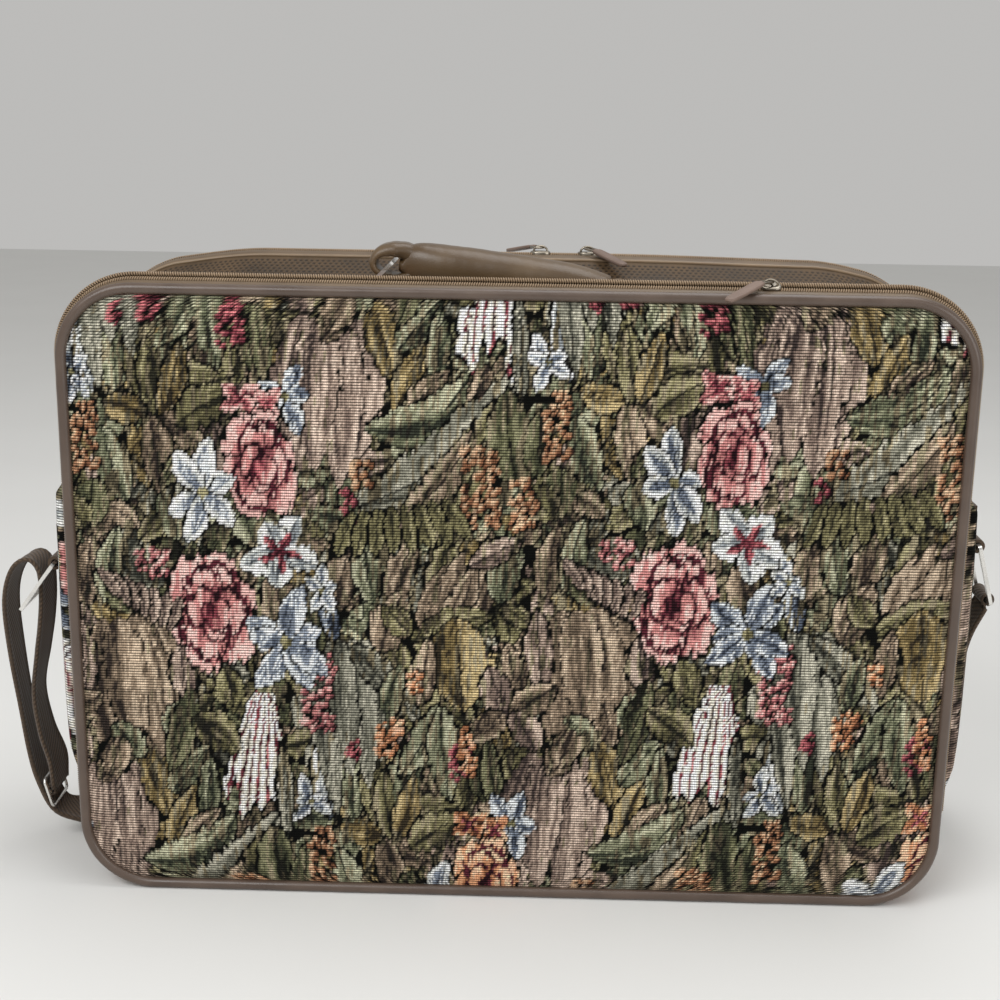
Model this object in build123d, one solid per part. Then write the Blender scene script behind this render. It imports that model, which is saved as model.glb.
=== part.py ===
from build123d import *
import os
from math import acos, atan2, cos, degrees, hypot, radians, sin, sqrt

# Soft suitcase, in millimetres: X to the right, Y to the back, Z up, with the origin on the
# ground under the middle of the case. The front faces -Y.

# Case, measured over the piping
case_width = 530
case_height = 378
case_depth = 150
corner_radius = 45
piping_radius = 3.2
piping_sides = 8

# Cloth, board and general clearances
sewn_gap = 0.3
moving_gap = 0.5
gusset_thickness = 1.8
lower_gusset_thickness = 2.4
panel_thickness = 3
lining_thickness = 1.5
lining_inset = 14
divider_thickness = 1.6
board_thickness = 2
overrun = 1
rod_sides = 16

# Heights of the seams on the sides
zip_end_rise = 6
side_seam_height = 258

# Zips: distance of the chain from the middle plane, and how far it stands out of the outline
front_zip_place = 58.5
front_zip_proud = 1
rear_zip_place = 52
rear_zip_proud = 8
coil_width = 2.4
coil_height = 2.4
coil_parting = 1.3
coil_chamfer = 0.6
tape_thickness = 0.8
tape_flat = 3.4
tape_seam_drop = 2.4

# Top gusset: the sunk strip between the zips, and the embossed band that rises to the rear zip
front_tape_edge_place = 48.8
front_tape_edge_drop = 2.6
valley_depth = 16
valley_front_place = 26
valley_rear_place = 10
band_seam_place = 17
band_seam_drop = 4
band_top_place = 37.2
band_top_proud = 5.4
bead_radius = 1
bead_sides = 6
rear_tape_edge_place = 39.6
rear_tape_edge_proud = 6.4

# Side gussets: outward bulge below the side seam
side_bulge = 22
side_bulge_top_share = 0.64
side_bulge_low_share = 0.6
side_bulge_edge_share = 0.6
side_swell_height_share = 0.45
side_low_height_share = 0.14
side_top_run = 12
side_edge_run = 5

# Zip sliders and pulls
slider_length = 12
slider_width = 8.4
slider_plate = 1.1
slider_neck = 0.6
slider_outline_shares = [(-0.5, 0.2), (-0.28, 0.5), (0.2, 0.5), (0.5, 0.3)]
post_radius = 2.4
post_sides = 10
post_height = 3.2
pull_bar_radius = 0.8
pull_bar_clearance = 0.3
pull_arm_width = 1.6
pull_arm_length = 11
pull_tab_length = 31
pull_tab_thickness = 2
front_slider_place = 144
rear_slider_left_place = 13
rear_slider_right_place = 43
front_pull_heading = 229
rear_pull_left_heading = 120
rear_pull_right_heading = 302
front_pull_droop = 1.5
rear_pull_left_droop = 1.5
rear_pull_right_droop = 5

# Handle, its rings and its chapes
handle_centre = -5
chape_spacing = 182
ring_length = 28
ring_bar_width = 3.6
ring_bar_thickness = 2.2
ring_inner_width = 25
ring_corner_radius = 2
handle_left_ring_angle = 44
handle_right_ring_angle = 8
handle_loop_width = 22
handle_left_loop_wall = 7.2
handle_right_loop_wall = 2.6
handle_loop_clearance = 0.4
handle_open_clearance = 1.5
grip_width = 28
grip_height = 25
grip_left_end_height = 18
grip_right_end_height = 11
grip_arch = 4
grip_end_width = 20
grip_shoulder_share = 0.26
grip_neck_share = 0.8
grip_sides = 16
chape_width = 22
chape_wall = 2
chape_clearance = 0.4
chape_tail = 30
rivet_radius = 3
rivet_sides = 12
rivet_height = 1.2
rivet_spacing = 12
plate_thickness = 1.5
plate_width = 24

# Shoulder strap, its rings and its slide
strap_width = 25
strap_thickness = 1.8
left_strap_ring_height = 192
right_strap_ring_height = 216
strap_ring_length = 36
strap_ring_inner_width = 29
left_strap_ring_angle = 234
right_strap_ring_angle = 285
strap_chape_tail = 26
strap_loop_clearance = 0.4
strap_loop_inset = 0.5
slide_height = 35
slide_out = 38
slide_pitch = 8.5
slide_bar_radius = 1.5
slide_lean = 105
slide_loop_clearance = 0.4

# Stations of the strap that stand upright beside the left ring, at the end of its route
strap_upright_stations = 12

# Route of the strap from its right ring, behind the case and up to the left ring and slide:
# side, distance out of the outline as a share of the bulge, place along Y as a share of the half
# depth, height as a share of the case's, and the direction of the strap's width
strap_route_shares = [
    (1, 1.18, 0.11, 0.397, (0, 0.97, 0.22)),
    (1, 1.3, 0.37, 0.278, (0.1, 0.9, 0.43)),
    (1, 1.25, 0.67, 0.164, (0.35, 0.7, 0.6)),
    (1, 1.05, 0.93, 0.074, (0.75, 0.4, 0.5)),
    (1, 0.68, 1.17, 0.019, (0.93, 0.35, 0.1)),
    (1, 0.05, 1.41, 0, (0.7, 0.7, 0)),
    (1, -1.14, 1.59, 0, (0.25, 0.97, 0)),
    (1, -2.73, 1.65, 0, (0, 1, 0)),
    (1, -8.2, 1.63, 0, (0, 1, 0)),
    (-1, -8.2, 1.66, 0, (0, 1, 0)),
    (-1, -2.73, 1.65, 0, (0, 1, 0)),
    (-1, -1.36, 1.61, 0, (-0.25, 0.97, 0)),
    (-1, -0.32, 1.47, 0, (-0.7, 0.7, 0)),
    (-1, 0.23, 1.17, 0, (-0.97, 0.25, 0)),
    (-1, 0.32, 0.8, 0, (-1, 0, 0)),
    (-1, 0.41, 0.45, 0.003, (-0.97, 0.2, 0.1)),
    (-1, 0.77, 0.19, 0.019, (-0.8, 0.5, 0.35)),
    (-1, 1.23, 0.04, 0.04, (-0.4, 0.85, 0.35)),
    (-1, 1.73, 0, 0.058, (0, 1, 0)),
    (-1, 2.14, 0, 0.116, (0, 1, 0)),
    (-1, 2.59, 0, 0.249, (0, 1, 0)),
    (-1, 2.86, 0, 0.339, (0, 1, 0)),
    (-1, 2.89, 0, 0.423, (0, 1, 0)),
    (-1, 2.73, 0, 0.476, (0, 1, 0)),
    (-1, 2.36, 0, 0.505, (0, 1, 0)),
    (-1, 1.95, 0, 0.51, (0, 1, 0)),
    (-1, 1.68, 0, 0.489, (0, 1, 0)),
    (-1, 1.6, 0, 0.437, (0, 1, 0)),
    (-1, 1.77, 0, 0.344, (0, 1, 0)),
    (-1, 2.09, 0, 0.267, (0, 1, 0)),
    (-1, 2.0, 0, 0.198, (0, 1, 0)),
]

# Worked out from the sizes above
half_width = case_width / 2
half_depth = case_depth / 2
piping_place = half_depth - piping_radius
zip_low = corner_radius + zip_end_rise
valley_floor = case_height - valley_depth
parts = {}


# Outlines and sweeps that follow the case

def outline_plate(inset, y_from, thickness):
    """A plate with the case's rounded outline, set in by inset, growing towards +Y."""
    plane = Plane(origin=(0, y_from, case_height / 2), x_dir=(1, 0, 0), z_dir=(0, 1, 0))
    width = case_width - 2 * inset
    height = case_height - 2 * inset
    return extrude(plane * RectangleRounded(width, height, corner_radius - inset), amount=thickness)


def over_top(section, start_height):
    """Sweep a section of (place along Y, distance out of the outline) points over the top."""
    corners = [Vector(-half_width - out, place, start_height) for place, out in section]
    path = FilletPolyline(
        (-half_width, 0, start_height),
        (-half_width, 0, case_height),
        (half_width, 0, case_height),
        (half_width, 0, start_height),
        radius=corner_radius,
    )
    return sweep(make_face(Polyline(*corners, close=True)), path=path)


def rod(radius, length):
    """A small round bar along Z, or the hole for one, in a few flat sides."""
    return extrude(RegularPolygon(radius, rod_sides), amount=length / 2, both=True)


def strip_section(line, thickness):
    """Close a line of (place, out) points into a strip that lies under it."""
    return line + [(place, out - thickness) for place, out in reversed(line)]


def coil_section(centre, out):
    """Half of a zip chain, as a chamfered bar about its centre."""
    across = coil_width / 2
    up = coil_height / 2
    return [
        (centre - across, out - up),
        (centre + across, out - up),
        (centre + across, out + up - coil_chamfer),
        (centre + across - coil_chamfer, out + up),
        (centre - across + coil_chamfer, out + up),
        (centre - across, out + up - coil_chamfer),
    ]


# Lids: piping, panel, lining and the lid's half of the zip

def piping(side):
    plane = Plane(origin=(0, side * piping_place, case_height / 2), x_dir=(1, 0, 0), z_dir=(0, 1, 0))
    width = case_width - 2 * piping_radius
    height = case_height - 2 * piping_radius
    path = (plane * RectangleRounded(width, height, corner_radius - piping_radius)).wire()
    section = RegularPolygon(piping_radius, piping_sides)
    return sweep(Plane(origin=path @ 0, z_dir=path % 0) * section, path=path)


def lid(name, side, zip_place, zip_proud):
    panel_inset = 2 * piping_radius + sewn_gap
    parts[name + "_piping"] = piping(side)
    panel_from = side * piping_place - panel_thickness / 2
    parts[name + "_panel"] = outline_plate(panel_inset, panel_from, panel_thickness)
    inner_face = piping_place - panel_thickness / 2
    lining_from = min(side * inner_face, side * (inner_face - lining_thickness))
    parts[name + "_lining"] = outline_plate(lining_inset, lining_from, lining_thickness)
    chain = zip_place + coil_parting / 2 + coil_width / 2
    tape_edge = chain + coil_width / 2
    seam = piping_place - piping_radius - sewn_gap
    line = [(seam, -tape_seam_drop), (tape_edge + tape_flat, zip_proud), (tape_edge, zip_proud)]
    line = [(side * place, out) for place, out in line]
    start = zip_low + moving_gap
    parts[name + "_zip_lid_tape"] = over_top(strip_section(line, tape_thickness), start)
    parts[name + "_zip_lid_coil"] = over_top(coil_section(side * chain, zip_proud), start)


def body_zip(name, side, zip_place, zip_proud, edge_place, edge_out):
    chain = zip_place - coil_parting / 2 - coil_width / 2
    tape_edge = chain - coil_width / 2
    line = [(tape_edge, zip_proud), (tape_edge - tape_flat, zip_proud), (edge_place, edge_out)]
    line = [(side * place, out) for place, out in line]
    parts[name + "_zip_body_tape"] = over_top(strip_section(line, tape_thickness), zip_low)
    parts[name + "_zip_body_coil"] = over_top(coil_section(side * chain, zip_proud), zip_low)


# Gussets: the walls between the two lids

def top_gusset():
    line = [
        (-front_tape_edge_place + sewn_gap, -front_tape_edge_drop),
        (-valley_front_place, -valley_depth),
        (valley_rear_place, -valley_depth),
        (band_seam_place, -band_seam_drop),
    ]
    return over_top(strip_section(line, gusset_thickness), side_seam_height)


def trim_band():
    line = [(band_seam_place + sewn_gap, -band_seam_drop), (band_top_place, band_top_proud)]
    return over_top(strip_section(line, gusset_thickness), side_seam_height)


def trim_bead():
    centre = (band_top_place + rear_tape_edge_place) / 2
    out = (band_top_proud + rear_tape_edge_proud) / 2
    path = FilletPolyline(
        (-half_width - out, centre, side_seam_height),
        (-half_width - out, centre, case_height + out),
        (half_width + out, centre, case_height + out),
        (half_width + out, centre, side_seam_height),
        radius=corner_radius + out,
    )
    return sweep(Plane(origin=path @ 0, z_dir=path % 0) * RegularPolygon(bead_radius, bead_sides), path=path)


def lower_gusset():
    edge = piping_place - piping_radius - sewn_gap
    section = [
        Vector(-half_width, -edge, zip_low),
        Vector(-half_width, edge, zip_low),
        Vector(-half_width + lower_gusset_thickness, edge, zip_low),
        Vector(-half_width + lower_gusset_thickness, -edge, zip_low),
    ]
    path = FilletPolyline(
        (-half_width, 0, zip_low),
        (-half_width, 0, 0),
        (half_width, 0, 0),
        (half_width, 0, zip_low),
        radius=corner_radius,
    )
    return sweep(make_face(Polyline(*section, close=True)), path=path)


def side_profile(bulge):
    """Outline in the X-Z plane of one bulging side, as (out, height) from its foot to its seam."""
    rise = side_seam_height - zip_low
    low = (bulge * side_bulge_low_share, zip_low + rise * side_low_height_share)
    swell = (bulge, zip_low + rise * side_swell_height_share)
    top = (bulge * side_bulge_top_share, side_seam_height - side_top_run)
    return [(0, zip_low), low, swell, top, (0, side_seam_height)]


def side_solid(side, bulge, reach_in):
    """The space under one bulging side, from reach_in behind the outline."""
    front = -front_tape_edge_place + sewn_gap
    rear = rear_tape_edge_place - sewn_gap
    foot, low, swell, top, seam = side_profile(bulge)

    def at(point):
        return (side * (half_width + point[0]), 0, point[1])

    inner = side * (half_width - reach_in)
    tall = Polyline((inner, 0, zip_low), at(foot), at(low))
    tall += ThreePointArc(at(low), at(swell), at(top))
    tall += Polyline(at(top), at(seam), (inner, 0, side_seam_height), (inner, 0, zip_low))
    upright = extrude(make_face(tall), amount=case_depth, both=True)
    edge = side * (half_width + bulge * side_bulge_edge_share)
    crown = (side * (half_width + bulge), (front + rear) / 2, 0)
    wide = Polyline((inner, front, 0), (side * half_width, front, 0), (edge, front + side_edge_run, 0))
    wide += ThreePointArc((edge, front + side_edge_run, 0), crown, (edge, rear - side_edge_run, 0))
    wide += Polyline((edge, rear - side_edge_run, 0), (side * half_width, rear, 0), (inner, rear, 0),
                     (inner, front, 0))
    level = extrude(make_face(wide), amount=case_height, both=True)
    return upright & level


def side_gusset(side):
    outer = side_solid(side, side_bulge, gusset_thickness)
    inner = side_solid(side, side_bulge - gusset_thickness, gusset_thickness + overrun)
    window = Box(2 * case_width, case_depth, side_seam_height - zip_low - 2 * gusset_thickness)
    inner = inner & (Pos(0, 0, (side_seam_height + zip_low) / 2) * window)
    return outer - inner


# Inner pieces

def divider_panel():
    slope = (valley_depth - band_seam_drop) / (band_seam_place - valley_rear_place)
    divider_inset = band_seam_drop + gusset_thickness + slope * divider_thickness / 2 + sewn_gap
    return outline_plate(divider_inset, band_seam_place - divider_thickness / 2, divider_thickness)


def bottom_board():
    length = case_width - 2 * corner_radius
    front = -(piping_place - piping_radius - sewn_gap)
    rear = band_seam_place - divider_thickness / 2 - sewn_gap
    board = Box(length, rear - front, board_thickness)
    return Pos(0, (front + rear) / 2, lower_gusset_thickness + board_thickness / 2) * board


def handle_plate():
    length = chape_spacing + 2 * chape_tail
    height = valley_floor - gusset_thickness - plate_thickness / 2
    place = (valley_rear_place - valley_front_place) / 2
    return Pos(handle_centre, place, height) * Box(length, plate_width, plate_thickness)


# Zip sliders and pulls

def slider(side, place, zip_place, zip_proud):
    """Two plates over and under the chain, joined by the neck that parts its halves."""
    centre = Vector(place, side * zip_place, case_height + zip_proud)
    lift = coil_height / 2 + moving_gap + slider_plate / 2
    half = [(along * slider_length, across * slider_width) for along, across in slider_outline_shares]
    shield = make_face(Polyline(*half, *[(along, -across) for along, across in reversed(half)], close=True))
    plate = Pos(0, 0, -slider_plate / 2) * extrude(shield, amount=slider_plate)
    body = (Pos(0, 0, lift) * plate) + (Pos(0, 0, -lift) * plate)
    body += Box(slider_length / 2, slider_neck, 2 * lift)
    post_base = lift + slider_plate / 2
    body += Pos(0, 0, post_base) * extrude(RegularPolygon(post_radius, post_sides), amount=post_height)
    return centre, post_base + post_height / 2, body


def pull(droop):
    """Bail and tab, along +X from the hinge bar at the origin."""
    inner = post_radius + moving_gap
    outer = inner + pull_arm_width
    bar = Rot(X=90) * rod(pull_bar_radius, 2 * outer)
    arm_length = pull_arm_length + outer / 2
    arm = Box(arm_length, pull_arm_width, 2 * pull_bar_radius)
    tab = extrude(RectangleRounded(pull_tab_length, 2 * outer, outer / 2), amount=pull_tab_thickness)
    body = bar + Pos(pull_arm_length + pull_tab_length / 2, 0, -pull_tab_thickness / 2) * tab
    for hand in (-1, 1):
        body += Pos(arm_length / 2, hand * (inner + pull_arm_width / 2), 0) * arm
    return Rot(Y=droop) * body


def slider_and_pull(slider_name, pull_name, side, place, zip_place, zip_proud, heading, droop):
    centre, pivot_height, body = slider(side, place, zip_place, zip_proud)
    eye = Rot(Z=heading) * Rot(X=90) * Cylinder(pull_bar_radius + pull_bar_clearance, 2 * slider_length)
    parts[slider_name] = Pos(centre) * (body - Pos(0, 0, pivot_height) * eye)
    pivot = centre + Vector(0, 0, pivot_height)
    parts[pull_name] = Pos(pivot) * (Rot(Z=heading) * pull(droop))
    print(pull_name, "hinge", [round(value, 3) for value in tuple(pivot)])


# Rings of flat wire, chapes and the handle

def ring(length, inner_width):
    """A flat ring in the X-Y plane: hinge bar at the origin along Y, far bar at +X."""
    outer = Rectangle(length + ring_bar_width, inner_width + 2 * ring_bar_width)
    outer = fillet(outer.vertices(), ring_corner_radius)
    inner = Rectangle(length - ring_bar_width, inner_width)
    flat = Pos(length / 2, 0, -ring_bar_thickness / 2) * extrude(outer - inner, amount=ring_bar_thickness)
    return flat


def bar_reach():
    return hypot(ring_bar_width, ring_bar_thickness) / 2


def chape(tail_length):
    """A folded loop round a ring's hinge bar at the origin, with its tail along -X below it."""
    hole = bar_reach() + chape_clearance
    outside = hole + chape_wall
    loop = Rot(X=90) * rod(outside, chape_width)
    tail = Pos(-tail_length / 2, 0, -outside + chape_wall / 2) * Box(tail_length, chape_width, chape_wall)
    return loop + tail - Rot(X=90) * rod(hole, 2 * chape_width)


chape_outside = bar_reach() + chape_clearance + chape_wall
handle_pivot_height = valley_floor + chape_outside
handle_place = (valley_rear_place - valley_front_place) / 2
left_pivot = Vector(handle_centre - chape_spacing / 2, handle_place, handle_pivot_height)
right_pivot = Vector(handle_centre + chape_spacing / 2, handle_place, handle_pivot_height)


def ring_tip(pivot, length, angle):
    return pivot + Vector(length * cos(radians(angle)), 0, length * sin(radians(angle)))


left_bar = ring_tip(left_pivot, ring_length, handle_left_ring_angle)
right_bar = ring_tip(right_pivot, ring_length, 180 - handle_right_ring_angle)
bar_span = (right_bar - left_bar).length
handle_tilt = degrees(atan2(right_bar.Z - left_bar.Z, right_bar.X - left_bar.X))


def handle_grip():
    """A padded, arched grip with a sewn loop round the bar at each end, along +X from the left bar."""
    left_hole = bar_reach() + handle_loop_clearance
    right_hole = bar_reach() + handle_open_clearance
    shoulder = bar_span * grip_shoulder_share
    stations = [
        (left_hole, grip_end_width, grip_left_end_height, 0),
        (shoulder / 2, grip_width, grip_height * grip_neck_share, grip_arch / 2),
        (shoulder, grip_width, grip_height, grip_arch),
        (bar_span - shoulder, grip_width, grip_height, grip_arch),
        (bar_span - shoulder / 2, grip_width, grip_height * grip_neck_share, grip_arch / 2),
        (bar_span - right_hole, grip_end_width, grip_right_end_height, 0),
    ]
    turns = [radians(360 * (side + 0.5) / grip_sides) for side in range(grip_sides)]
    sections = []
    for along, width, height, arch in stations:
        plane = Plane(origin=(along, 0, arch), x_dir=(0, 1, 0), z_dir=(1, 0, 0))
        rim = [(width / 2 * cos(turn), height / 2 * sin(turn)) for turn in turns]
        sections.append(plane * make_face(Polyline(*rim, close=True)))
    grip = loft(sections, ruled=True)
    loops = ((0, left_hole, handle_left_loop_wall), (bar_span, right_hole, handle_right_loop_wall))
    for along, hole, wall in loops:
        grip += Pos(along, 0, 0) * Rot(X=90) * rod(hole + wall, handle_loop_width)
    for along, hole, wall in loops:
        grip -= Pos(along, 0, 0) * Rot(X=90) * rod(hole, 2 * handle_loop_width)
    return Pos(left_bar) * (Rot(Y=-handle_tilt) * grip)


def handle_set():
    ring_flat = ring(ring_length, ring_inner_width)
    parts["handle_ring_left"] = Pos(left_pivot) * (Rot(Y=-handle_left_ring_angle) * ring_flat)
    parts["handle_ring_right"] = Pos(right_pivot) * (Rot(Y=handle_right_ring_angle - 180) * ring_flat)
    parts["handle_chape_left"] = Pos(left_pivot) * chape(chape_tail)
    parts["handle_chape_right"] = Pos(right_pivot) * (Rot(Z=180) * chape(chape_tail))
    parts["handle_grip"] = handle_grip()
    rivet = extrude(RegularPolygon(rivet_radius, rivet_sides), amount=rivet_height)
    top = valley_floor + chape_wall
    heads = []
    for pivot, away in ((left_pivot, -1), (right_pivot, 1)):
        for across in (-rivet_spacing / 2, rivet_spacing / 2):
            along = pivot.X + away * (chape_tail - 2 * rivet_radius)
            heads.append(Pos(along, handle_place + across, top) * rivet)
    parts["handle_rivets"] = Compound(heads)


# Shoulder strap and its hardware

def side_out(height):
    """How far the middle of a side gusset stands out of the outline, on the arc of its profile."""
    low, swell, top = [Vector(*point) for point in side_profile(side_bulge)[1:4]]
    arc = ThreePointArc(low, swell, top)
    drop = height - arc.arc_center.Y
    return arc.arc_center.X + sqrt(arc.radius ** 2 - drop ** 2)


def strap_pivot(side, height):
    surface = half_width + side_out(height - chape_outside)
    return Vector(side * (surface + sewn_gap + chape_outside), 0, height)


left_strap_pivot = strap_pivot(-1, left_strap_ring_height)
right_strap_pivot = strap_pivot(1, right_strap_ring_height)
right_strap_bar = ring_tip(right_strap_pivot, strap_ring_length, right_strap_ring_angle)
slide_centre = Vector(-half_width - slide_out, 0, slide_height)


def strap_loop(centre, hole):
    outside = hole + strap_thickness
    loop = Cylinder(outside, strap_width - 2 * strap_loop_inset) - Cylinder(hole, 2 * strap_width)
    return Pos(centre) * (Rot(X=90) * loop)


def shoulder_strap():
    """Flat webbing, lofted through its stations, with a sewn loop on each end."""
    ring_hole = bar_reach() + strap_loop_clearance
    slide_hole = slide_bar_radius + slide_loop_clearance
    stations = [(right_strap_bar - Vector(0, 0, ring_hole + strap_thickness / 2), Vector(0, 1, 0))]
    for side, out_share, depth_share, height_share, width_share in strap_route_shares:
        height = height_share * case_height + strap_thickness / 2
        place = Vector(side * (half_width + out_share * side_bulge), depth_share * half_depth, height)
        stations.append((place, Vector(*width_share)))
    strap_rise = len(strap_route_shares) - strap_upright_stations
    landing = slide_centre + Vector(slide_hole + strap_thickness / 2, 0, 0)
    stations.append((landing + Vector(0, 0, 2 * slide_pitch), Vector(0, 1, 0)))
    stations.append((landing, Vector(0, 1, 0)))
    sections = []
    for index, (place, across) in enumerate(stations):
        before = stations[max(index - 1, 0)][0]
        after = stations[min(index + 1, len(stations) - 1)][0]
        along = (after - before).normalized()
        across = (across - along * across.dot(along)).normalized()
        plane = Plane(origin=place, x_dir=across, z_dir=along)
        sections.append(plane * Rectangle(strap_width, strap_thickness))
    webbing = loft(sections[:strap_rise + 1], ruled=True) + loft(sections[strap_rise:], ruled=True)
    webbing += strap_loop(right_strap_bar, ring_hole)
    webbing += strap_loop(slide_centre, slide_hole)
    for centre, hole in ((right_strap_bar, ring_hole), (slide_centre, slide_hole)):
        webbing -= Pos(centre) * (Rot(X=90) * Cylinder(hole, 2 * strap_width))
    return webbing


def strap_slide():
    """Three round bars across two side arms; the strap's end is sewn round the middle bar."""
    inner = strap_width / 2 + slide_loop_clearance
    arm_centre = inner + slide_bar_radius
    body = None
    for along in (-slide_pitch, 0, slide_pitch):
        bar = Pos(along, 0, 0) * (Rot(X=90) * rod(slide_bar_radius, 2 * arm_centre))
        body = bar if body is None else body + bar
    for hand in (-1, 1):
        arm = Box(2 * (slide_pitch + slide_bar_radius), 2 * slide_bar_radius, 2 * slide_bar_radius)
        body += Pos(0, hand * arm_centre, 0) * arm
    return Pos(slide_centre) * (Rot(Y=-slide_lean) * body)


def strap_set():
    flat = ring(strap_ring_length, strap_ring_inner_width)
    parts["strap_ring_left"] = Pos(left_strap_pivot) * (Rot(Y=-left_strap_ring_angle) * flat)
    parts["strap_ring_right"] = Pos(right_strap_pivot) * (Rot(Y=-right_strap_ring_angle) * flat)
    tail_up = chape(strap_chape_tail)
    parts["strap_chape_left"] = Pos(left_strap_pivot) * (Rot(X=180) * (Rot(Y=-90) * tail_up))
    parts["strap_chape_right"] = Pos(right_strap_pivot) * (Rot(Y=90) * tail_up)
    parts["shoulder_strap"] = shoulder_strap()
    parts["strap_slide"] = strap_slide()


# The whole suitcase

lid("front", -1, front_zip_place, front_zip_proud)
lid("rear", 1, rear_zip_place, rear_zip_proud)
body_zip("front", -1, front_zip_place, front_zip_proud, front_tape_edge_place, -front_tape_edge_drop)
body_zip("rear", 1, rear_zip_place, rear_zip_proud, rear_tape_edge_place, rear_tape_edge_proud)
parts["top_gusset"] = top_gusset()
parts["trim_band"] = trim_band()
parts["trim_bead"] = trim_bead()
parts["side_gusset_left"] = side_gusset(-1)
parts["side_gusset_right"] = side_gusset(1)
parts["lower_gusset"] = lower_gusset()
parts["divider_panel"] = divider_panel()
parts["bottom_board"] = bottom_board()
parts["handle_plate"] = handle_plate()
slider_and_pull("front_slider", "front_pull", -1, front_slider_place, front_zip_place,
                front_zip_proud, front_pull_heading, front_pull_droop)
slider_and_pull("rear_slider_left", "rear_pull_left", 1, rear_slider_left_place, rear_zip_place,
                rear_zip_proud, rear_pull_left_heading, rear_pull_left_droop)
slider_and_pull("rear_slider_right", "rear_pull_right", 1, rear_slider_right_place, rear_zip_place,
                rear_zip_proud, rear_pull_right_heading, rear_pull_right_droop)
handle_set()
strap_set()

# The lifted handle: both rings lean in at one angle, with the grip level between them
lifted_angle = degrees(acos((chape_spacing - bar_span) / (2 * ring_length)))
print("lid hinges at y", piping_place, "z", piping_radius)
print("handle pivots", tuple(left_pivot), tuple(left_bar), tuple(right_pivot))
left_turn = handle_left_ring_angle - lifted_angle
print("handle lift", lifted_angle - handle_right_ring_angle, left_turn, handle_tilt)
print("strap ring pivots", tuple(left_strap_pivot), tuple(right_strap_pivot))

os.makedirs("parts", exist_ok=True)
for node, shape in parts.items():
    export_step(shape, "parts/" + node + ".step")
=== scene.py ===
import math

import bpy
import numpy as np
from mathutils import Matrix, Vector


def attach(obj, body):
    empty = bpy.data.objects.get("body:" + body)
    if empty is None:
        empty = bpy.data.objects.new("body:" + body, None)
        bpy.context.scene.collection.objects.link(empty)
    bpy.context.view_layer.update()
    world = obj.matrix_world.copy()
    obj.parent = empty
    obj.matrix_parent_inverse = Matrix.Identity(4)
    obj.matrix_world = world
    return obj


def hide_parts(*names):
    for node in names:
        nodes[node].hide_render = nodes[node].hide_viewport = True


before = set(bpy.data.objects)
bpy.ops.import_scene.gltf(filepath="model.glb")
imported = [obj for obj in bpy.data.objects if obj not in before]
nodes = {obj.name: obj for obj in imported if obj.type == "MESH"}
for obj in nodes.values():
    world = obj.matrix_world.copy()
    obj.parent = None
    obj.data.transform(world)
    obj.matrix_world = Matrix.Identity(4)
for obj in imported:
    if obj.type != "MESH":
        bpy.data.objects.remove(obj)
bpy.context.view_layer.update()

scene = bpy.context.scene
scene.view_settings.view_transform = "Standard"

MM = 0.001
IMAGE = 1000  # the photograph's pixels each way

# Sizes of the CAD model, in millimetres
WIDTH, HEIGHT, RADIUS = 530.0, 378.0, 45.0
HALF = WIDTH / 2
PIPING = 3.2
PIPING_PLACE = 71.8
FACE_PLACE = -73.3  # the front cloth's plane
SIDE_SEAM = 258.0  # where the side cloth ends and the strips over the top begin
ZIP_START, LID_ZIP_START = 51.0, 51.5
RIB, WARP = 1.66, 1.15  # woven rows and warp threads of the cloth
# The cloth's repeat to the right and its half drop, both a little askew, as the cloth was cut
REPEAT, DROP = (275.0, 11.4), (139.8, 275.8)
# Pits of the embossed band: their step, the rows' distance and where the rows end
PIT_STEP, PIT_ROW, PIT_END = 3.5, 3.3, 19.9


def linear(colour):
    """sRGB numbers from 0 to 255 as linear light."""
    c = np.asarray(colour, dtype=float) / 255.0
    return np.where(c <= 0.04045, c / 12.92, ((c + 0.055) / 1.055) ** 2.4)


def rgba(colour):
    return (*[float(x) for x in linear(colour)], 1.0)


# Camera of the photograph

LENS, SENSOR = 56.144, 36.0
FOCAL = LENS / SENSOR * IMAGE
YAW, PITCH, ROLL = (math.radians(a) for a in (-1.2844, 14.3886, 0.8765))
EYE = Vector((12.068, -954.056, 481.471))
FORWARD = Vector((math.sin(YAW) * math.cos(PITCH), math.cos(YAW) * math.cos(PITCH), -math.sin(PITCH)))
flat_right = Vector((math.cos(YAW), -math.sin(YAW), 0))
flat_up = flat_right.cross(FORWARD)
RIGHT = math.cos(ROLL) * flat_right + math.sin(ROLL) * flat_up
UP = -math.sin(ROLL) * flat_right + math.cos(ROLL) * flat_up

lens = bpy.data.cameras.new("camera")
lens.lens = LENS
lens.sensor_width = SENSOR
lens.clip_start = 0.05
camera = bpy.data.objects.new("camera", lens)
turn = Matrix((RIGHT, UP, -FORWARD)).transposed().to_4x4()
camera.matrix_world = Matrix.Translation(EYE * MM) @ turn
scene.collection.objects.link(camera)
scene.camera = camera


def spot(px, py):
    """The point of the front cloth (x, z, mm) that a pixel of the photograph shows."""
    ray = FORWARD * FOCAL + RIGHT * (px - IMAGE / 2) - UP * (py - IMAGE / 2)
    reach = (FACE_PLACE - EYE.y) / ray.y
    return EYE.x + ray.x * reach, EYE.z + ray.z * reach


# Material helpers

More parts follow.
